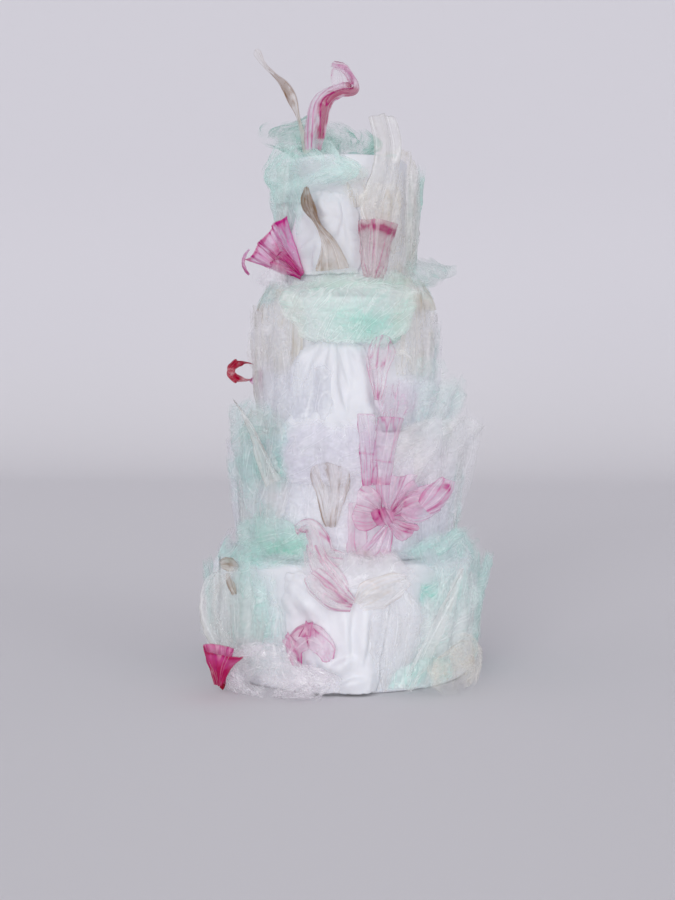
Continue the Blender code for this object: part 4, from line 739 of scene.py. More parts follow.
def spline(points, places):
    """A smooth curve through the rows of points, at places from 0 to 1."""
    points = np.asarray(points, float)
    padded = np.vstack([2 * points[0] - points[1], points, 2 * points[-1] - points[-2]])
    reach = np.clip(places, 0.0, 1.0) * (len(points) - 1)
    first = np.minimum(reach.astype(int), len(points) - 2)
    t = (reach - first)[..., None]
    p0, p1, p2, p3 = (padded[first + k] for k in range(4))
    slope_in = (p2 - p0) / 2
    slope_out = (p3 - p1) / 2
    rise = p2 - p1
    squared = 3 * rise - 2 * slope_in - slope_out
    cubed = slope_in + slope_out - 2 * rise
    return p1 + t * (slope_in + t * (squared + t * cubed))


def unit(vectors):
    return vectors / np.maximum(np.linalg.norm(vectors, axis=-1, keepdims=True), 1e-9)


def along_side(tier, places):
    """Turns x, z, out into the distance round the tier's side, z and out."""
    if tier == ON_TOP:
        return places.copy()
    radius = TIERS[tier - 1][0]
    x, z, out = (places[..., k] for k in range(3))
    reach = np.maximum(radius + out, np.abs(x) / math.sin(WIDEST_ANGLE))
    return np.stack([radius * np.arcsin(x / reach), z, reach - radius], -1)


def round_cake(tier, turn, flat):
    """Turns distance round the side, z and out into x, y, z."""
    s, z, out = (flat[..., k] for k in range(3))
    if tier == ON_TOP:
        return np.stack([s, -out, z], -1)
    radius = TIERS[tier - 1][0]
    angle = s / radius + math.radians(turn)
    return np.stack([(radius + out) * np.sin(angle), -(radius + out) * np.cos(angle), z], -1)


def pleat(sheet, width, length):
    phase = random.Random(sheet.name).uniform(0, 2 * math.pi)
    return sheet.depth * (0.4 + 0.6 * length) * np.sin(2 * math.pi * sheet.pleats * width + phase)


def sail_points(sheet, width, length):
    rows = spline(sheet.stations, length)
    left = along_side(sheet.tier, rows[..., :3])
    right = along_side(sheet.tier, rows[..., 3:])
    points = left + (right - left) * width[..., None]
    normal = unit(np.cross(right - left, np.gradient(points, axis=0)))
    belly = sheet.bulge * 4 * width * (1 - width) * length
    return points + normal * (belly + pleat(sheet, width, length))[..., None]


def ribbon_points(sheet, width, length):
    rows = spline(sheet.stations, length)
    middle = along_side(sheet.tier, rows[..., :3])
    breadth = rows[..., 3]
    roll = np.radians(rows[..., 4])
    curl = np.radians(rows[..., 5])
    forward = unit(np.gradient(middle, axis=0))
    side = unit(np.cross(forward, np.array([0.0, 0.0, 1.0])))
    outward = np.cross(side, forward)
    lateral = side * np.cos(roll)[..., None] + outward * np.sin(roll)[..., None]
    normal = outward * np.cos(roll)[..., None] - side * np.sin(roll)[..., None]
    curl = np.where(np.abs(curl) < 0.02, 0.02, curl)
    bend = breadth / curl
    swing = (width - 0.5) * curl
    sideways = bend * np.sin(swing)
    rise = bend * (2 * np.sin(curl / 2) / curl - np.cos(swing))
    return middle + lateral * sideways[..., None] + normal * (rise + pleat(sheet, width, length))[..., None]


def placed(sheet, width, length):
    """The sheet's points in x, y, z at shares of its width and length."""
    shape = sail_points if sheet.form == "sail" else ribbon_points
    return round_cake(sheet.tier, sheet.turn, shape(sheet, width, length))


def coarse_sheet(sheet):
    """The CAD node's grid of points and its triangles, before it is settled."""
    across, along = sheet.cells
    width = np.linspace(0.0, 1.0, across + 1)[None, :]
    length = np.linspace(0.0, 1.0, along + 1)[:, None]
    end = 1.0 - sheet.tip_cut * (2 * width - 1) ** 2
    points = placed(sheet, width + 0 * length, end * length).reshape(-1, 3)
    corners = grid_quads(along + 1, across + 1)
    return points, corners[:, (0, 1, 2, 0, 2, 3)].reshape(-1, 3)


def samples_of(points, faces):
    """Points spread over each triangle."""
    steps = range(TRIANGLE_SAMPLES + 1)
    shares = [(i, j, TRIANGLE_SAMPLES - i - j) for i in steps for j in steps if i + j <= TRIANGLE_SAMPLES]
    weights = np.array(shares) / TRIANGLE_SAMPLES
    return np.einsum("wk,tkc->twc", weights, points[faces])


def bins_of(samples):
    angle = np.arctan2(samples[..., 0], -samples[..., 1])
    across = ((angle / (2 * math.pi) + 0.5) * ANGLE_BINS).astype(int) % ANGLE_BINS
    up = np.clip((samples[..., 2] / HEIGHT_BIN).astype(int) + 2, 0, HEIGHT_BINS - 1)
    return across, up


def tier_reach(samples, half):
    """The radius of the tier beside each sample, or 0 above the cake."""
    z = samples[..., 2]
    reach = np.zeros(z.shape)
    for radius, bottom, top in TIERS:
        beside = (z > bottom - half - GAP) & (z < top + half + GAP / 2)
        reach = np.where(beside, np.maximum(reach, radius), reach)
    return reach


def spread(reach):
    """Each bin's highest value among itself and its neighbours."""
    for axis in (0, 1):
        reach = np.maximum(reach, np.maximum(np.roll(reach, 1, axis), np.roll(reach, -1, axis)))
    return reach


def from_axis(points):
    return np.hypot(points[..., 0], points[..., 1])


def shortfall(points, faces, reach, half):
    """How far each triangle has to move out to clear what lies under it."""
    samples = samples_of(points, faces)
    under = np.maximum(tier_reach(samples, half), spread(reach)[bins_of(samples)])
    return np.where(under > 0, under + half + GAP - from_axis(samples), 0.0).max(axis=1)


def moved_out(points, distance):
    """The points, moved away from the cake's axis."""
    radius = from_axis(points)
    scale = (radius + distance) / radius
    return points * np.stack([scale, scale, np.ones_like(scale)], -1)


def settle(points, faces, reach, half, rigid):
    """Moves a piece out until it lies over what was put on before it."""
    for _ in range(SETTLING_ROUNDS):
        short = shortfall(points, faces, reach, half)
        if short.max() <= 0:
            break
        lift = np.zeros(len(points))
        if rigid:
            lift += short.max()
        else:
            for corner in range(3):
                np.maximum.at(lift, faces[:, corner], short)
        points = moved_out(points, lift)
    return points


def add_to_stack(points, faces, reach, half):
    samples = samples_of(points, faces)
    np.maximum.at(reach, bins_of(samples), from_axis(samples) + half)


def unevenness_of(lump, directions):
    """A smooth uneven factor around 1 for each direction from the middle."""
    chance = random.Random(lump.name)
    total = np.zeros(len(directions))
    for _ in range(6):
        wave = np.array([chance.gauss(0, 3.2) for _ in range(3)])
        total += np.sin(directions @ wave + chance.uniform(0, 2 * math.pi))
    return 1 + lump.unevenness * total / 2


def lump_shell(lump):
    """The CAD node's points and triangles, before it is settled."""
    shell = bmesh.new()
    bmesh.ops.create_icosphere(shell, subdivisions=3, radius=1.0)
    directions = np.array([vertex.co[:] for vertex in shell.verts])
    faces = np.array([[vertex.index for vertex in face.verts] for face in shell.faces])
    shell.free()
    middle = along_side(lump.tier, np.array(lump.middle, float))
    flat = middle + directions * np.array(lump.half) * unevenness_of(lump, directions)[:, None]
    flat[:, 1] = np.maximum(flat[:, 1], FLOOR_CLEARANCE)
    return round_cake(lump.tier, lump.turn, flat), faces


def seed_of(name):
    return random.Random(name).randrange(1_000_000)


def value_noise(a, b, seed):
    """Smooth noise from -1 to 1 over the plane, one lattice cell for each unit."""
    table = np.random.default_rng(seed).random((NOISE_TABLE, NOISE_TABLE)) * 2 - 1
    i = np.floor(a).astype(int)
    j = np.floor(b).astype(int)
    s = a - i
    t = b - j
    s = s * s * s * (s * (s * 6 - 15) + 10)
    t = t * t * t * (t * (t * 6 - 15) + 10)
    i, j, next_i, next_j = (k % NOISE_TABLE for k in (i, j, i + 1, j + 1))
    low = table[i, j] * (1 - s) + table[next_i, j] * s
    high = table[i, next_j] * (1 - s) + table[next_i, next_j] * s
    return low * (1 - t) + high * t


def smooth_step(x):
    x = np.clip(x, 0.0, 1.0)
    return x * x * (3 - 2 * x)


def crumples(a, b, scale, seed):
    """The height of crumpled film and how near each point is to a crease line, both from 0 to 1."""
    bend = scale * 0.5
    p, q = (places / scale / 1.6 for places in (a, b))
    warp_a = a + bend * value_noise(p, q, seed + 1)
    warp_b = b + bend * value_noise(p, q, seed + 2)
    height = np.zeros_like(a)
    line = np.zeros_like(a)
    share = 1.0
    size = scale
    for octave in range(3):
        wave = np.abs(value_noise(warp_a / size, warp_b / size, seed + 7 * octave))
        height += share * (1 - np.minimum(2.0 * wave, 1.0))
        line = np.maximum(line, share**0.8 * np.clip(1 - wave * size / CREASE_WIDTH, 0, 1))
        share *= 0.5
        size *= 0.52
    return height / 1.75, line


def pleats(p, q, seed):
    """Heights and lines of pleats. p counts pleats across the piece and q runs along it."""
    drift = 0.7 * value_noise(p / 2.5, q * 1.3, seed + 31)
    height = np.zeros_like(p)
    line = np.zeros_like(p)
    for octave, share in enumerate((1.0, 0.5)):
        places = (p + drift) * (1 + octave)
        wave = np.abs(value_noise(places, q * (0.8 + 0.7 * octave) + 9 * octave, seed + 33 + octave))
        height += share * (1 - np.minimum(1.8 * wave, 1.0))
        line = np.maximum(line, share**0.5 * np.clip(1 - wave / 0.13, 0, 1))
    return height / 1.5, line


def upsample(coarse, width, length):
    """A smooth reading of a value known at the coarse grid's points."""
    rows = np.stack([spline(row[:, None], width[0])[:, 0] for row in coarse])
    return np.stack([spline(column[:, None], length[:, 0])[:, 0] for column in rows.T], 1)


def normals_of(points):
    """Unit normals, turned to point away from the cake's axis on the whole."""
    normals = unit(np.cross(np.gradient(points, axis=1), np.gradient(points, axis=0)))
    outward = (normals[..., :2] * points[..., :2]).sum()
    return normals if outward >= 0 else -normals


def row_widths(points):
    return np.linalg.norm(np.diff(points, axis=1), axis=-1).sum(axis=1)


def column_lengths(points):
    return np.linalg.norm(np.diff(points, axis=0), axis=-1).sum(axis=0)


def edge_distance(points, u, v):
    """Each point's distance in mm from the side edges, from the tip and from the root."""
    breadth = row_widths(points)[:, None]
    reach = column_lengths(points)[None, :]
    return np.minimum(u, 1 - u) * breadth, (1 - v) * reach, v * reach


def cell_counts(breadth, reach, cell):
    return tuple(int(np.clip(span / cell, FEWEST_CELLS, MOST_CELLS)) for span in (breadth, reach))


def grid_shares(across, along):
    return np.meshgrid(np.linspace(0.0, 1.0, across + 1), np.linspace(0.0, 1.0, along + 1))


def size_of(sheet):
    """The piece's greatest width and its mean length in mm."""
    points = placed(sheet, *grid_shares(12, 24))
    return row_widths(points).max(), column_lengths(points).mean()


def wandering(places, seed):
    """A slow and a quick sway, from -1 to 1, of an outline along places in mm."""
    slow, quick = (value_noise(places / size, 0 * places + 0.5, seed + k) for k, size in enumerate((15, 4.5)))
    return 0.7 * slow + 0.3 * quick


def ragged_shares(sheet, look, u, v, breadth, reach, seed):
    """Shares of the width and of the length, with an outline that wanders and narrows at the ends."""
    wander = look.ragged / breadth
    ends = np.clip((v - 0.65) / 0.35, 0, 1) ** 2 + 0.4 * np.clip((0.2 - v) / 0.2, 0, 1) ** 2
    narrow = look.taper * ends / 2
    left = narrow + wander * (0.2 + wandering(v * reach, seed + 41))
    right = narrow + wander * (0.2 + wandering(v * reach, seed + 43))
    tip = look.ragged / reach * (0.5 + wandering(u * breadth, seed + 45))
    root = look.ragged / reach * 0.5 * (0.5 + wandering(u * breadth, seed + 47))
    start = np.maximum(root, 0)
    end = 1.0 - sheet.tip_cut * (2 * u - 1) ** 2 - np.maximum(tip, 0)
    return left + (1 - left - right) * u, start + (end - start) * v


def laid_out(sheet, lift, look, cell, seed, layer):
    """The shares of the fine grid, its distances in mm across and along, and its smooth points."""
    breadth, reach = size_of(sheet)
    if sheet.name in SHAPED:
        sheet = sheet._replace(stations=SHAPED[sheet.name], tip_cut=SHAPED_TIP_CUT)
    u, v = grid_shares(*cell_counts(breadth, reach, cell))
    width, length = ragged_shares(sheet, look, u, v, breadth, reach, seed)
    points = placed(sheet, width, length)
    if lift is not None:
        points = moved_out(points, upsample(lift, u, v) + LAYER_GAP * layer)
    return u, v, width * breadth, length * reach, points


def screen(colour):
    """Linear light from a screen colour."""
    c = np.asarray(colour, float) / 255
    return np.where(c <= 0.04045, c / 12.92, ((c + 0.055) / 1.055) ** 2.4)


def film_colours(coating, look, u, v, a, b, line, height, sides, seed):
    """The colour and the share of light stopped at each point."""
    light, deep = (screen(own or plain) for own, plain in zip((look.light, look.deep), FILMS[coating]))
    cloud = value_noise(a / 20, b / 20, seed + 11)
    fine = value_noise(a / 5, b / 5, seed + 12)
    side, tip, root = sides
    rim = np.clip(1 - np.minimum(side, tip) / RIM_WIDTH, 0, 1)
    depth = look.depth * (1 + 0.8 * cloud + 0.4 * fine)
    # Colour deepens along the crease lines: partly dye gathered there, partly painted crease shade.
    depth = depth + look.crease_dye_and_shade * line * (0.6 + 0.4 * cloud) + look.rim * rim
    for across, along, radius, strength in look.pools:
        gap = np.hypot(u - across, v - along) / radius
        depth = depth + strength * np.exp(-(gap**2)) * (1 + 0.5 * fine + 0.4 * line)
    for along, half, strength in look.bands:
        gap = (v - along + 0.03 * cloud) / half
        depth = depth + strength * np.exp(-(gap**2)) * (1 + 0.5 * fine + 0.6 * line)
    depth = np.clip(depth, 0, 1)
    # Painted highlight: the crests are whitened and stop more light, where a glint would fall.
    painted_crest_highlight = look.glint * smooth_step((height - 0.72) / 0.25)
    colour = light * (1 - depth[..., None]) + deep * depth[..., None]
    colour = colour + (screen(HIGHLIGHT_WHITE) - colour) * painted_crest_highlight[..., None] * (1 - depth[..., None])
    alpha = look.stop * (1 + 0.35 * cloud + 0.2 * fine)
    alpha = alpha + (1 - alpha) * (0.30 * line + 0.35 * rim * look.rim + 0.55 * depth**1.2 + 0.35 * painted_crest_highlight)
    alpha = alpha * (1 - look.fade * smooth_step(v * 1.4 - 0.4))
    if look.curve:
        outline = (np.abs(2 * u - 1) ** look.curve + np.abs(2 * v - 1) ** look.curve) ** (1 / look.curve)
        inside = (1.04 - outline + 0.10 * cloud + 0.03 * fine) * np.minimum(np.ptp(a), np.ptp(b)) / 2
        side = np.minimum(side, inside)
    margin = np.minimum(np.minimum(side, tip), root + 0.6 * look.soft) + 0.25 * look.soft * cloud
    return colour, np.clip(alpha, 0.03, 0.97) * smooth_step(margin / look.soft)


def frilled(look, u, v, a, b, seed):
    """Ruffles that grow towards the free edges."""
    side = np.abs(2 * u - 1) ** 3
    tip = smooth_step((v - 0.55) / 0.45)
    wave_b = 0.5 + 0.5 * value_noise(b / 9, 0 * b + 3.3, seed + 21)
    wave_a = 0.5 + 0.5 * value_noise(a / 8, 0 * a + 7.7, seed + 22)
    return look.frill * (side * wave_b + tip * wave_a)


def fine_sheet(sheet, lift, look, layer):
    """The grid of points, colours and shares of light stopped of one layer of film."""
    seed = seed_of(sheet.name) + 1000 * layer
    cell = ROUND_CELL if sheet.turn or "ledge" in sheet.name else FILM_CELL
    u, v, a, b, points = laid_out(sheet, lift, look, cell, seed, layer)
    bumps, bump_line = crumples(a, b, look.scale, seed)
    folds, fold_line = pleats(a / look.pitch, b / 40, seed)
    sides = edge_distance(points, u, v)
    worked = max(look.crumple + look.pleat, 0.1)
    line = np.maximum(
        bump_line * min(1.3 * look.crumple / worked, 1), fold_line * min(1.3 * look.pleat / worked, 1))
    relief = look.crumple * bumps + look.pleat * folds
    points = points + normals_of(points) * (relief + frilled(look, u, v, a, b, seed))[..., None]
    colour, alpha = film_colours(sheet.coating, look, u, v, a, b, line, relief / worked, sides, seed)
    return points, colour, alpha, a, b


def grid_quads(rows, columns):
    i, j = np.meshgrid(np.arange(rows - 1), np.arange(columns - 1), indexing="ij")
    a = i * columns + j
    return np.stack([a, a + 1, a + 1 + columns, a + columns], -1).reshape(-1, 4)


def mesh_object(name, points, faces, colours=None, grain=None):
    """A smooth mesh in the scene, with its paint and the places of its fine lines where it is film."""
    mesh = bpy.data.meshes.new(name)
    mesh.from_pydata((points * MM).tolist(), [], faces.tolist())
    mesh.shade_smooth()
    if colours is not None:
        paint = mesh.color_attributes.new("tint", "FLOAT_COLOR", "POINT")
        paint.data.foreach_set("color", colours.astype(np.float32).ravel())
        along = mesh.attributes.new("grain", "FLOAT_VECTOR", "POINT")
        along.data.foreach_set("vector", grain.astype(np.float32).ravel())
    obj = bpy.data.objects.new(name, mesh)
    bpy.context.scene.collection.objects.link(obj)
    return obj


def dress(obj, material, nodes):
    obj.data.materials.append(material)
    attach(obj, "root")
    if nodes:
        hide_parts(*nodes)


def film_mesh(name, layers, grain):
    """One mesh of several grids of film, without the cells that are too clear to see."""
    points, colours, grains, faces = [], [], [], []
    first = 0
    for number, (grid, colour, alpha, a, b) in enumerate(layers):
        quads = grid_quads(*alpha.shape)
        faces.append(quads[alpha.reshape(-1)[quads].max(axis=1) > FAINTEST] + first)
        first += alpha.size
        points.append(grid.reshape(-1, 3))
        colours.append(np.concatenate([colour, alpha[..., None]], -1).reshape(-1, 4))
        turn = grain + LAYER_TURN * number
        across = a * math.cos(turn) - b * math.sin(turn)
        along = a * math.sin(turn) + b * math.cos(turn)
        shift = 0 * a + LAYER_SHIFT * number + seed_of(name) % 900
        grains.append(np.stack([across, along, shift], -1).reshape(-1, 3))
    points, colours, grains, faces = (np.concatenate(rows) for rows in (points, colours, grains, faces))
    used = np.unique(faces)
    renumber = np.zeros(len(points), int)
    renumber[used] = np.arange(len(used))
    return mesh_object(name, points[used], renumber[faces], colours[used], grains[used])


def fill_in(tree, node, **inputs):
    """Sets or links a node's inputs: at0 is the first, and any other is called by its name."""
    for name, value in inputs.items():
        socket = node.inputs[int(name[2:]) if name.startswith("at") else name.replace("_", " ")]
        if isinstance(value, bpy.types.NodeSocket):
            tree.links.new(value, socket)
        else:
            socket.default_value = value


def new_node(tree, kind, operation=None, **inputs):
    node = tree.nodes.new("ShaderNode" + kind)
    if operation:
        node.operation = operation
    fill_in(tree, node, **inputs)
    return node


def new_material(name):
    material = bpy.data.materials.new(name)
    material.use_nodes = True
    return material, material.node_tree


def painted(colour):
    return (*screen(colour), 1.0)


def mixed(tree, share, first, second):
    """The mix of two colours."""
    node = tree.nodes.new("ShaderNodeMix")
    node.data_type = "RGBA"
    fill_in(tree, node, Factor=share, A=first, B=second)
    return node.outputs["Result"]


def thin_lines(tree, places, scale, sharpness, wander):
    """A mask of thin wandering lines where a noise crosses its middle."""
    noise = new_node(
        tree, "TexNoise", Vector=places, Scale=scale, Detail=1.5, Roughness=0.5, Distortion=wander)
    off = new_node(tree, "Math", "SUBTRACT", at0=noise.outputs["Fac"], at1=0.5)
    away = new_node(tree, "Math", "ABSOLUTE", at0=off.outputs[0])
    steep = new_node(tree, "Math", "MULTIPLY_ADD", at0=away.outputs[0], at1=-sharpness, at2=1.0)
    steep.use_clamp = True
    return steep.outputs[0]


def toned(tree, colour, mask, share, tone):
    """The colour, mixed with a tone where the mask is."""
    amount = new_node(tree, "Math", "MULTIPLY", at0=mask, at1=share)
    return mixed(tree, amount.outputs[0], colour, painted(tone))


def film_material(name):
    """Glossy film coloured and cleared by its paint, with thin deep lines of dye and painted crease shade and
    thin white lines of painted highlight.
    """
    across, along, deep, highlight_share, wander = FILM_LINES[name]
    material, tree = new_material(f"film_{name}")
    tree.nodes.clear()
    paint = tree.nodes.new("ShaderNodeVertexColor")
    paint.layer_name = "tint"
    grain = tree.nodes.new("ShaderNodeAttribute")
    grain.attribute_name = "grain"
    spacing = (1 / across, 1 / along, 1.0)
    places = new_node(tree, "VectorMath", "MULTIPLY", at0=grain.outputs["Vector"], at1=spacing).outputs[0]
    # Thin deep lines: partly gathered dye, partly painted crease shade.
    dye_and_shade_lines = thin_lines(tree, places, *DYE_AND_SHADE_LINES, wander)
    # Thin white lines: painted highlights, which also give the fine bump.
    shifted = new_node(tree, "VectorMath", "ADD", at0=places, at1=PAINTED_HIGHLIGHT_LINES_START).outputs[0]
    painted_highlight_lines = thin_lines(tree, shifted, *PAINTED_HIGHLIGHT_LINES, wander)
    deepened = toned(tree, paint.outputs["Color"], dye_and_shade_lines, deep, FILMS[name][1])
    colour = toned(tree, deepened, painted_highlight_lines, highlight_share, HIGHLIGHT_WHITE)
    # Both kinds of line stop more light, the painted highlight lines the most.
    thick = new_node(tree, "Math", "MULTIPLY_ADD", at0=dye_and_shade_lines, at1=0.9 * deep, at2=1.0)
    cover_of_lines = new_node(tree, "Math", "MULTIPLY_ADD", at0=painted_highlight_lines, at1=1.1 * highlight_share, at2=thick.outputs[0])
    cover = new_node(tree, "Math", "MULTIPLY", at0=paint.outputs["Alpha"], at1=cover_of_lines.outputs[0])
    cover.use_clamp = True
    bump = new_node(tree, "Bump", Strength=0.5, Distance=FINE_BUMP, Height=painted_highlight_lines)
    gloss = new_node(
        tree, "BsdfPrincipled", Roughness=FILM_ROUGHNESS, Normal=bump.outputs[0], Base_Color=colour,
        Specular_IOR_Level=CRIMSON_SHINE if name == "crimson" else FILM_SHINE)
    through = new_node(tree, "BsdfTranslucent", Color=colour)
    body = new_node(tree, "MixShader", at0=FILM_TRANSLUCENCE, at1=gloss.outputs[0], at2=through.outputs[0])
    clear = new_node(tree, "BsdfTransparent")
    film = new_node(tree, "MixShader", at0=cover.outputs[0], at1=clear.outputs[0], at2=body.outputs[0])
    new_node(tree, "OutputMaterial", Surface=film.outputs[0])
    return material


def fondant_material():
    """Matt fondant, with a fine grain in its tone and surface, that lets a little light in."""
    material, tree = new_material("fondant")
    place = new_node(tree, "NewGeometry").outputs["Position"]
    grain = new_node(tree, "TexNoise", Vector=place, Scale=60.0, Detail=4.0).outputs["Fac"]
    bump = new_node(tree, "Bump", Strength=0.25, Distance=FINE_BUMP, Height=grain)
    fill_in(
        tree, tree.nodes["Principled BSDF"], Base_Color=mixed(tree, grain, *map(painted, FONDANT_TONES)),
        Normal=bump.outputs[0], Roughness=0.5, Subsurface_Weight=0.2,
        Subsurface_Radius=(0.003, 0.0025, 0.002))
    return material


def fine_tier(number, radius, bottom, top, material):
    """A turned tier with a soft top edge and a faint hand-smoothed unevenness."""
    profile = [(0.0, top), (radius * 0.5, top), (radius - TIER_TOP_ROUND, top)]
    for step in range(1, EDGE_STEPS + 1):
        turn = math.pi / 2 * step / EDGE_STEPS
        across = radius - TIER_TOP_ROUND * (1 - math.sin(turn))
        profile.append((across, top - TIER_TOP_ROUND * (1 - math.cos(turn))))
    side = bottom + TIER_FOOT_CHAMFER - top + TIER_TOP_ROUND
    profile += [(radius, top - TIER_TOP_ROUND + side * step / SIDE_STEPS) for step in range(1, SIDE_STEPS)]
    profile += [(radius, bottom + TIER_FOOT_CHAMFER), (radius - TIER_FOOT_CHAMFER, bottom), (0.0, bottom)]
    rim = np.array(profile)
    angle = np.arange(TURN_STEPS) * 2 * math.pi / TURN_STEPS
    r = rim[:, 0][:, None] + 0 * angle
    z = rim[:, 1][:, None] + 0 * angle
    wave = value_noise(angle * radius / TIER_WAVE + 0 * r, z / TIER_WAVE, seed_of(f"tier{number}"))
    r = r + TIER_WAVE_HEIGHT * wave * (r > radius * 0.9)
    points = np.stack([r * np.sin(angle), -r * np.cos(angle), z], -1)
    i, j = np.meshgrid(np.arange(len(profile) - 1) * TURN_STEPS, np.arange(TURN_STEPS), indexing="ij")
    k = (j + 1) % TURN_STEPS
    faces = np.stack([i + j, i + TURN_STEPS + j, i + TURN_STEPS + k, i + k], -1).reshape(-1, 4)
    obj = mesh_object(f"tier_{number}_fondant", points.reshape(-1, 3), faces)
    clean = bmesh.new()
    clean.from_mesh(obj.data)
    bmesh.ops.remove_doubles(clean, verts=clean.verts, dist=1e-6)
    clean.to_mesh(obj.data)
    clean.free()
    obj.data.shade_smooth()
    dress(obj, material, [f"tier_{number}"])


def fold_heights(folds, a, b):
    """Rounded folds with one steep side."""
    height = np.zeros_like(a)
    for start_a, start_b, end_a, end_b, breadth, rise in folds:
        run = np.array([end_a - start_a, end_b - start_b])
        span = np.hypot(*run)
        along = ((a - start_a) * run[0] + (b - start_b) * run[1]) / span
        aside = ((a - start_a) * run[1] - (b - start_b) * run[0]) / span
        aside = aside + 2.0 * np.sin(along / 11 + start_a)
        ends = smooth_step(1.15 - np.abs(2 * along / span - 1))
        gentle = np.exp(-((np.maximum(aside, 0) / breadth) ** 2))
        steep = np.exp(-((np.minimum(aside, 0) / (0.3 * breadth)) ** 2))
        height = height + rise * (gentle * steep) * ends * (along > -0.2 * span) * (along < 1.2 * span)
    return height


def hemmed(points, u, v):
    """Presses the side edges and the top edge of a drape on to the tier under it."""
    side, tip, _ = edge_distance(points, u, v)
    under = tier_reach(points, FONDANT_THICKNESS / 2) + FONDANT_THICKNESS / 2 + 0.2
    bent = 1 - smooth_step(np.minimum(side, tip) / HEM_WIDTH)
    press = bent * (under > FONDANT_THICKNESS) * np.clip(from_axis(points) - under, 0, DEEPEST_PRESS)
    return moved_out(points, -press)


def fine_drape(sheet, lift, material, nodes):
    """Draped fondant with soft folds."""
    seed = seed_of(sheet.name)
    cell = ROUND_FONDANT_CELL if sheet.turn else FONDANT_CELL
    u, v, a, b, points = laid_out(sheet, lift, DRAPE_LOOK, cell, seed, 0)
    points = hemmed(points, u, v)
    bumps, _ = crumples(a, b / 1.8, BUMP_SIZE, seed)
    height = BUMP_HEIGHT * smooth_step(bumps) + fold_heights(DRAPE_FOLDS[sheet.name], a, b)
    points = points + normals_of(points) * height[..., None]
    obj = mesh_object(sheet.name + "_fine", points.reshape(-1, 3), grid_quads(*u.shape))
    solidify = obj.modifiers.new("thickness", "SOLIDIFY")
    solidify.thickness = FONDANT_THICKNESS * MM
    solidify.offset = 0.0
    dress(obj, material, nodes)


def leaf(lump, look, middle, turn, tilt, wide, scale, seed):
    """One crumpled leaf of film laid over an ellipsoid, round the direction turn, tilt."""
    half = np.array(lump.half, float)
    across, along = cell_counts(2 * wide * half[0], 2 * wide * half[1] * 1.3, LEAF_CELL)
    u, v = grid_shares(across, along)
    east = turn + wide * (2 * u - 1)
    north = tilt + wide * (2 * v - 1) * 0.8
    directions = np.stack([np.sin(east) * np.cos(north), np.sin(north), np.cos(east) * np.cos(north)], -1)
    a = east * half[0] + 200
    b = north * half[1] + 200
    bumps, line = crumples(a, b / 1.4, look.scale, seed)
    uneven = unevenness_of(lump, directions.reshape(-1, 3)).reshape(u.shape)
    rough = 1 + 0.10 * value_noise(a / 9, b / 9, seed + 5)
    size = half * (scale * uneven * rough)[..., None]
    flat = middle + directions * size + (1.6 * look.crumple * bumps)[..., None] * directions
    edge = np.minimum(np.minimum(u, 1 - u) * across, np.minimum(v, 1 - v) * along) * LEAF_CELL
    colour, alpha = film_colours(
        lump.coating, look._replace(fade=0.0), u, v, a, b, line, bumps, (edge, edge, edge), seed)
    return flat, colour, alpha, a, b


def lump_layers(lump, rise, look):
    """Loose leaves of film all over a lump."""
    chance = random.Random(lump.name)
    middle = along_side(lump.tier, np.array(lump.middle, float))
    widest = 1.9 if lump.tier else math.pi
    layers = []
    for number in range(LEAVES):
        turn = chance.uniform(-widest, widest)
        tilt = math.asin(chance.uniform(-0.85, 0.95))
        scale = chance.uniform(0.75, 1.25)
        seed = seed_of(lump.name) + 60 * number
        flat, *rest = leaf(lump, look, middle, turn, tilt, chance.uniform(0.55, 1.0), scale, seed)
        flat[..., 1] = np.maximum(flat[..., 1], FLOOR_CLEARANCE)
        points = round_cake(lump.tier, lump.turn, flat)
        layers.append((moved_out(points, rise) if rise else points, *rest))
    return layers


def films_round():
    """Films round the sides and the back of every tier and over its ledge, in the manner of the front."""
    chance = random.Random("round")
    films = []
    for tier, (radius, bottom, top) in enumerate(TIERS, 1):
        coatings = ROUND_COATINGS[tier]
        for number, coating in enumerate(coatings):
            turn = FIRST_TURN + TURN_TO_LAST * number / (len(coatings) - 1) + chance.uniform(-9, 9)
            half = radius * chance.uniform(0.30, 0.46)
            low = bottom + chance.uniform(3, 16)
            high = top + chance.uniform(-14, 12)
            lean = chance.uniform(4, 16) * (1.0 if 85 < turn < 275 else 0.4)
            slant = chance.uniform(-12, 12)
            middle = (low + high) / 2
            films.append(sail(
                f"{coating}_round_{tier}_{number}", tier,
                (-half, low, 4, half * 0.8, low + 4, 4),
                (slant - half, middle, 7, slant + half, middle, 8),
                (slant * 1.5 - half * 0.9, high, lean, slant * 1.5 + half * 0.9, high - 6, lean * 0.7),
                bulge=4, pleats=3, depth=3, turn=turn, cells=(6, 5),
            ))
        for number in range(LEDGE_FILMS if tier < len(TIERS) else 0):
            turn = FIRST_LEDGE_TURN + TURN_TO_NEXT * number + chance.uniform(-6, 6)
            coating = LEDGE_COATINGS[(number + tier) % len(LEDGE_COATINGS)]
            half = radius * chance.uniform(0.36, 0.46)
            films.append(sail(
                f"{coating}_ledge_{tier}_{number}", tier,
                (-half, top - 14, 5, half, top - 10, 5),
                (-half, top + 3, -3, half, top + 3, -3),
                (-half * 0.9, top + 19, -13, half * 0.9, top + 16, -13),
                bulge=3, pleats=3, depth=2, turn=turn, cells=(6, 5),
            ))
    return films


def fan_stations(low, length, direction):
    """A fan that opens from a narrow root at height low."""
    lean = math.radians(direction)
    stations = []
    for share, width, out in FAN_SHAPE:
        x, z = length * share * math.sin(lean), low + length * share * math.cos(lean)
        side_x, side_z = length * width * math.cos(lean), length * width * math.sin(lean)
        stations.append((x - side_x, z + side_z, out, x + side_x, z - side_z, out))
    return stations


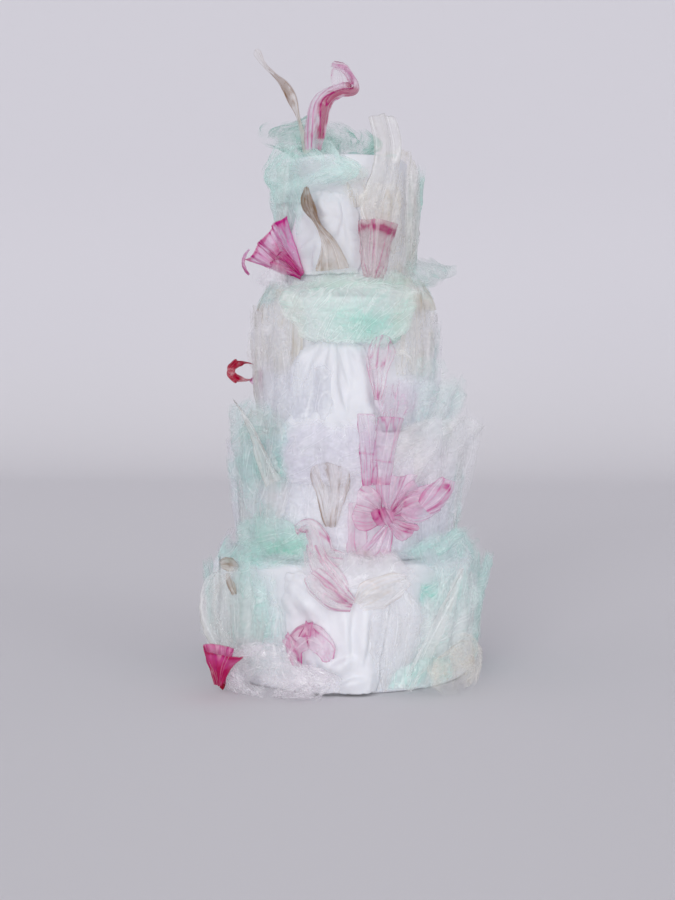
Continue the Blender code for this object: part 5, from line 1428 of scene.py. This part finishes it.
def accents_round():
    """Pink and magenta fans, flowers and strips, as at the front."""
    made = []
    for group, (tier, turn, low, length, directions) in enumerate(ROUND_FANS):
        coating = "magenta" if group % 3 == 0 else "pink"
        for number, direction in enumerate(directions):
            made.append(sail(
                f"{coating}_fan_round_{group}_{number}", tier,
                *fan_stations(low, length * (1.0 - 0.12 * (number % 2)), direction),
                bulge=4, pleats=3, depth=3, turn=turn, cells=(5, 5),
            ))
    for number, (tier, turn, low, length, width) in enumerate(ROUND_STRIPS):
        stations = []
        for share, sway in STRIP_SHAPE:
            z = low + length * share
            stations.append((sway - width / 2, z, STRIP_OUT, sway + width / 2, z + 2, STRIP_OUT))
        made.append(sail(
            f"pink_strip_round_{number}", tier, *stations, bulge=4, depth=2, turn=turn, cells=(4, 6)))
    return made


def place_lump(lump, reach, look, material, nodes):
    """Adds a cloud of loose leaves, over what is already there."""
    rise = 0.0
    if lump.tier != ON_TOP:
        before, faces = lump_shell(lump)
        after = settle(before, faces, reach, 0.0, True)
        add_to_stack(after, faces, reach, 0.0)
        rise = float(from_axis(after[0]) - from_axis(before[0]))
    obj = film_mesh(lump.name + "_fine", lump_layers(lump, rise, look), look.grain)
    dress(obj, material, nodes)


def place_sheet(sheet, reach, look, material, nodes):
    """Adds the fine mesh of one sheet. One that stands for a node is settled over what is already there."""
    lift = None
    if sheet.tier != ON_TOP:
        coarse, faces = coarse_sheet(sheet)
        half = (FILM_THICKNESS if look else FONDANT_THICKNESS) / 2
        settled = settle(coarse, faces, reach, half, sheet.rigid) if nodes else coarse
        add_to_stack(settled, faces, reach, half)
        lift = (from_axis(settled) - from_axis(coarse)).reshape(sheet.cells[1] + 1, sheet.cells[0] + 1)
    if look is None:
        fine_drape(sheet, lift, material, nodes)
        return
    layers = [fine_sheet(sheet, lift, look, layer) for layer in range(look.layers)]
    dress(film_mesh(sheet.name + "_fine", layers, look.grain), material, nodes)


def build_scene():
    materials = {name: film_material(name) for name in FILMS}
    materials["fondant"] = fondant_material()
    for number, (radius, bottom, top) in enumerate(TIERS, 1):
        fine_tier(number, radius, bottom, top, materials["fondant"])
    reach = np.zeros((ANGLE_BINS, HEIGHT_BINS))
    for piece in (*PIECES, *EXTRAS, *films_round(), *accents_round()):
        look = COATING_LOOKS.get(LOOK_OF.get(piece.name, piece.coating))
        if look:
            look = look._replace(**LOOKS.get(piece.name, {}))
        place = place_lump if isinstance(piece, Lump) else place_sheet
        nodes = [piece.name] if piece in PIECES else []
        place(piece, reach, look, materials[FILM_OF.get(piece.name, piece.coating)], nodes)


def place_camera():
    data = bpy.data.cameras.new("camera")
    data.lens = CAMERA_LENS
    data.sensor_width = SENSOR_WIDTH
    camera = bpy.data.objects.new("camera", data)
    bpy.context.scene.collection.objects.link(camera)
    place = Matrix.Translation((CAMERA_SIDE * MM, -CAMERA_DISTANCE * MM, CAMERA_HEIGHT * MM))
    pitch = Matrix.Rotation(math.pi / 2 - CAMERA_PITCH, 4, "X")
    camera.matrix_world = place @ pitch @ Matrix.Rotation(CAMERA_ROLL, 4, "Z")
    bpy.context.scene.camera = camera


def add_light(name, kind, place, target, settings):
    """A light at a place in m, aimed at a target."""
    data = bpy.data.lights.new(name, kind)
    for setting, value in settings.items():
        setattr(data, setting, value)
    light = bpy.data.objects.new(name, data)
    light.location = place
    light.rotation_euler = (Vector(target) - Vector(place)).to_track_quat("-Z", "Y").to_euler()
    bpy.context.scene.collection.objects.link(light)


def add_backdrop():
    """A pale floor that sweeps up into a wall behind the cake."""
    sweep = [(-BACKDROP_REACH, -FLOOR_GAP), (SWEEP_START, -FLOOR_GAP)]
    for step in range(1, SWEEP_STEPS + 1):
        turn = math.pi / 2 * step / SWEEP_STEPS
        rise = SWEEP_RADIUS * (1 - math.cos(turn)) - FLOOR_GAP
        sweep.append((SWEEP_START + SWEEP_RADIUS * math.sin(turn), rise))
    sweep.append((SWEEP_START + SWEEP_RADIUS, BACKDROP_HEIGHT))
    points = np.array([(x, y, z) for x in (-BACKDROP_REACH, BACKDROP_REACH) for y, z in sweep])
    backdrop = mesh_object("backdrop", points, grid_quads(2, len(sweep)))
    material, tree = new_material("backdrop")
    place = new_node(tree, "NewGeometry")
    height = new_node(tree, "SeparateXYZ", Vector=place.outputs["Position"]).outputs["Z"]
    rise = new_node(tree, "MapRange", Value=height, From_Min=TONE_HEIGHTS[0], From_Max=TONE_HEIGHTS[1])
    rise.interpolation_type = "SMOOTHSTEP"
    tone = mixed(tree, rise.outputs["Result"], painted(FLOOR_TONE), painted(WALL_TONE))
    fill_in(tree, tree.nodes["Principled BSDF"], Base_Color=tone, Roughness=0.9)
    backdrop.data.materials.append(material)


def add_studio():
    """Soft light from all round, a key and a fill, and a low lamp for the foot of the cake."""
    world = bpy.data.worlds.new("studio")
    bpy.context.scene.world = world
    world.use_nodes = True
    tree = world.node_tree
    fill_in(tree, tree.nodes["Background"], Color=painted(STUDIO_LIGHT), Strength=STUDIO_STRENGTH)
    for light in LIGHTS:
        add_light(*light)


build_scene()
place_camera()
add_studio()
add_backdrop()
bpy.context.scene.view_settings.view_transform = "Standard"
bpy.context.scene.cycles.transparent_max_bounces = 24
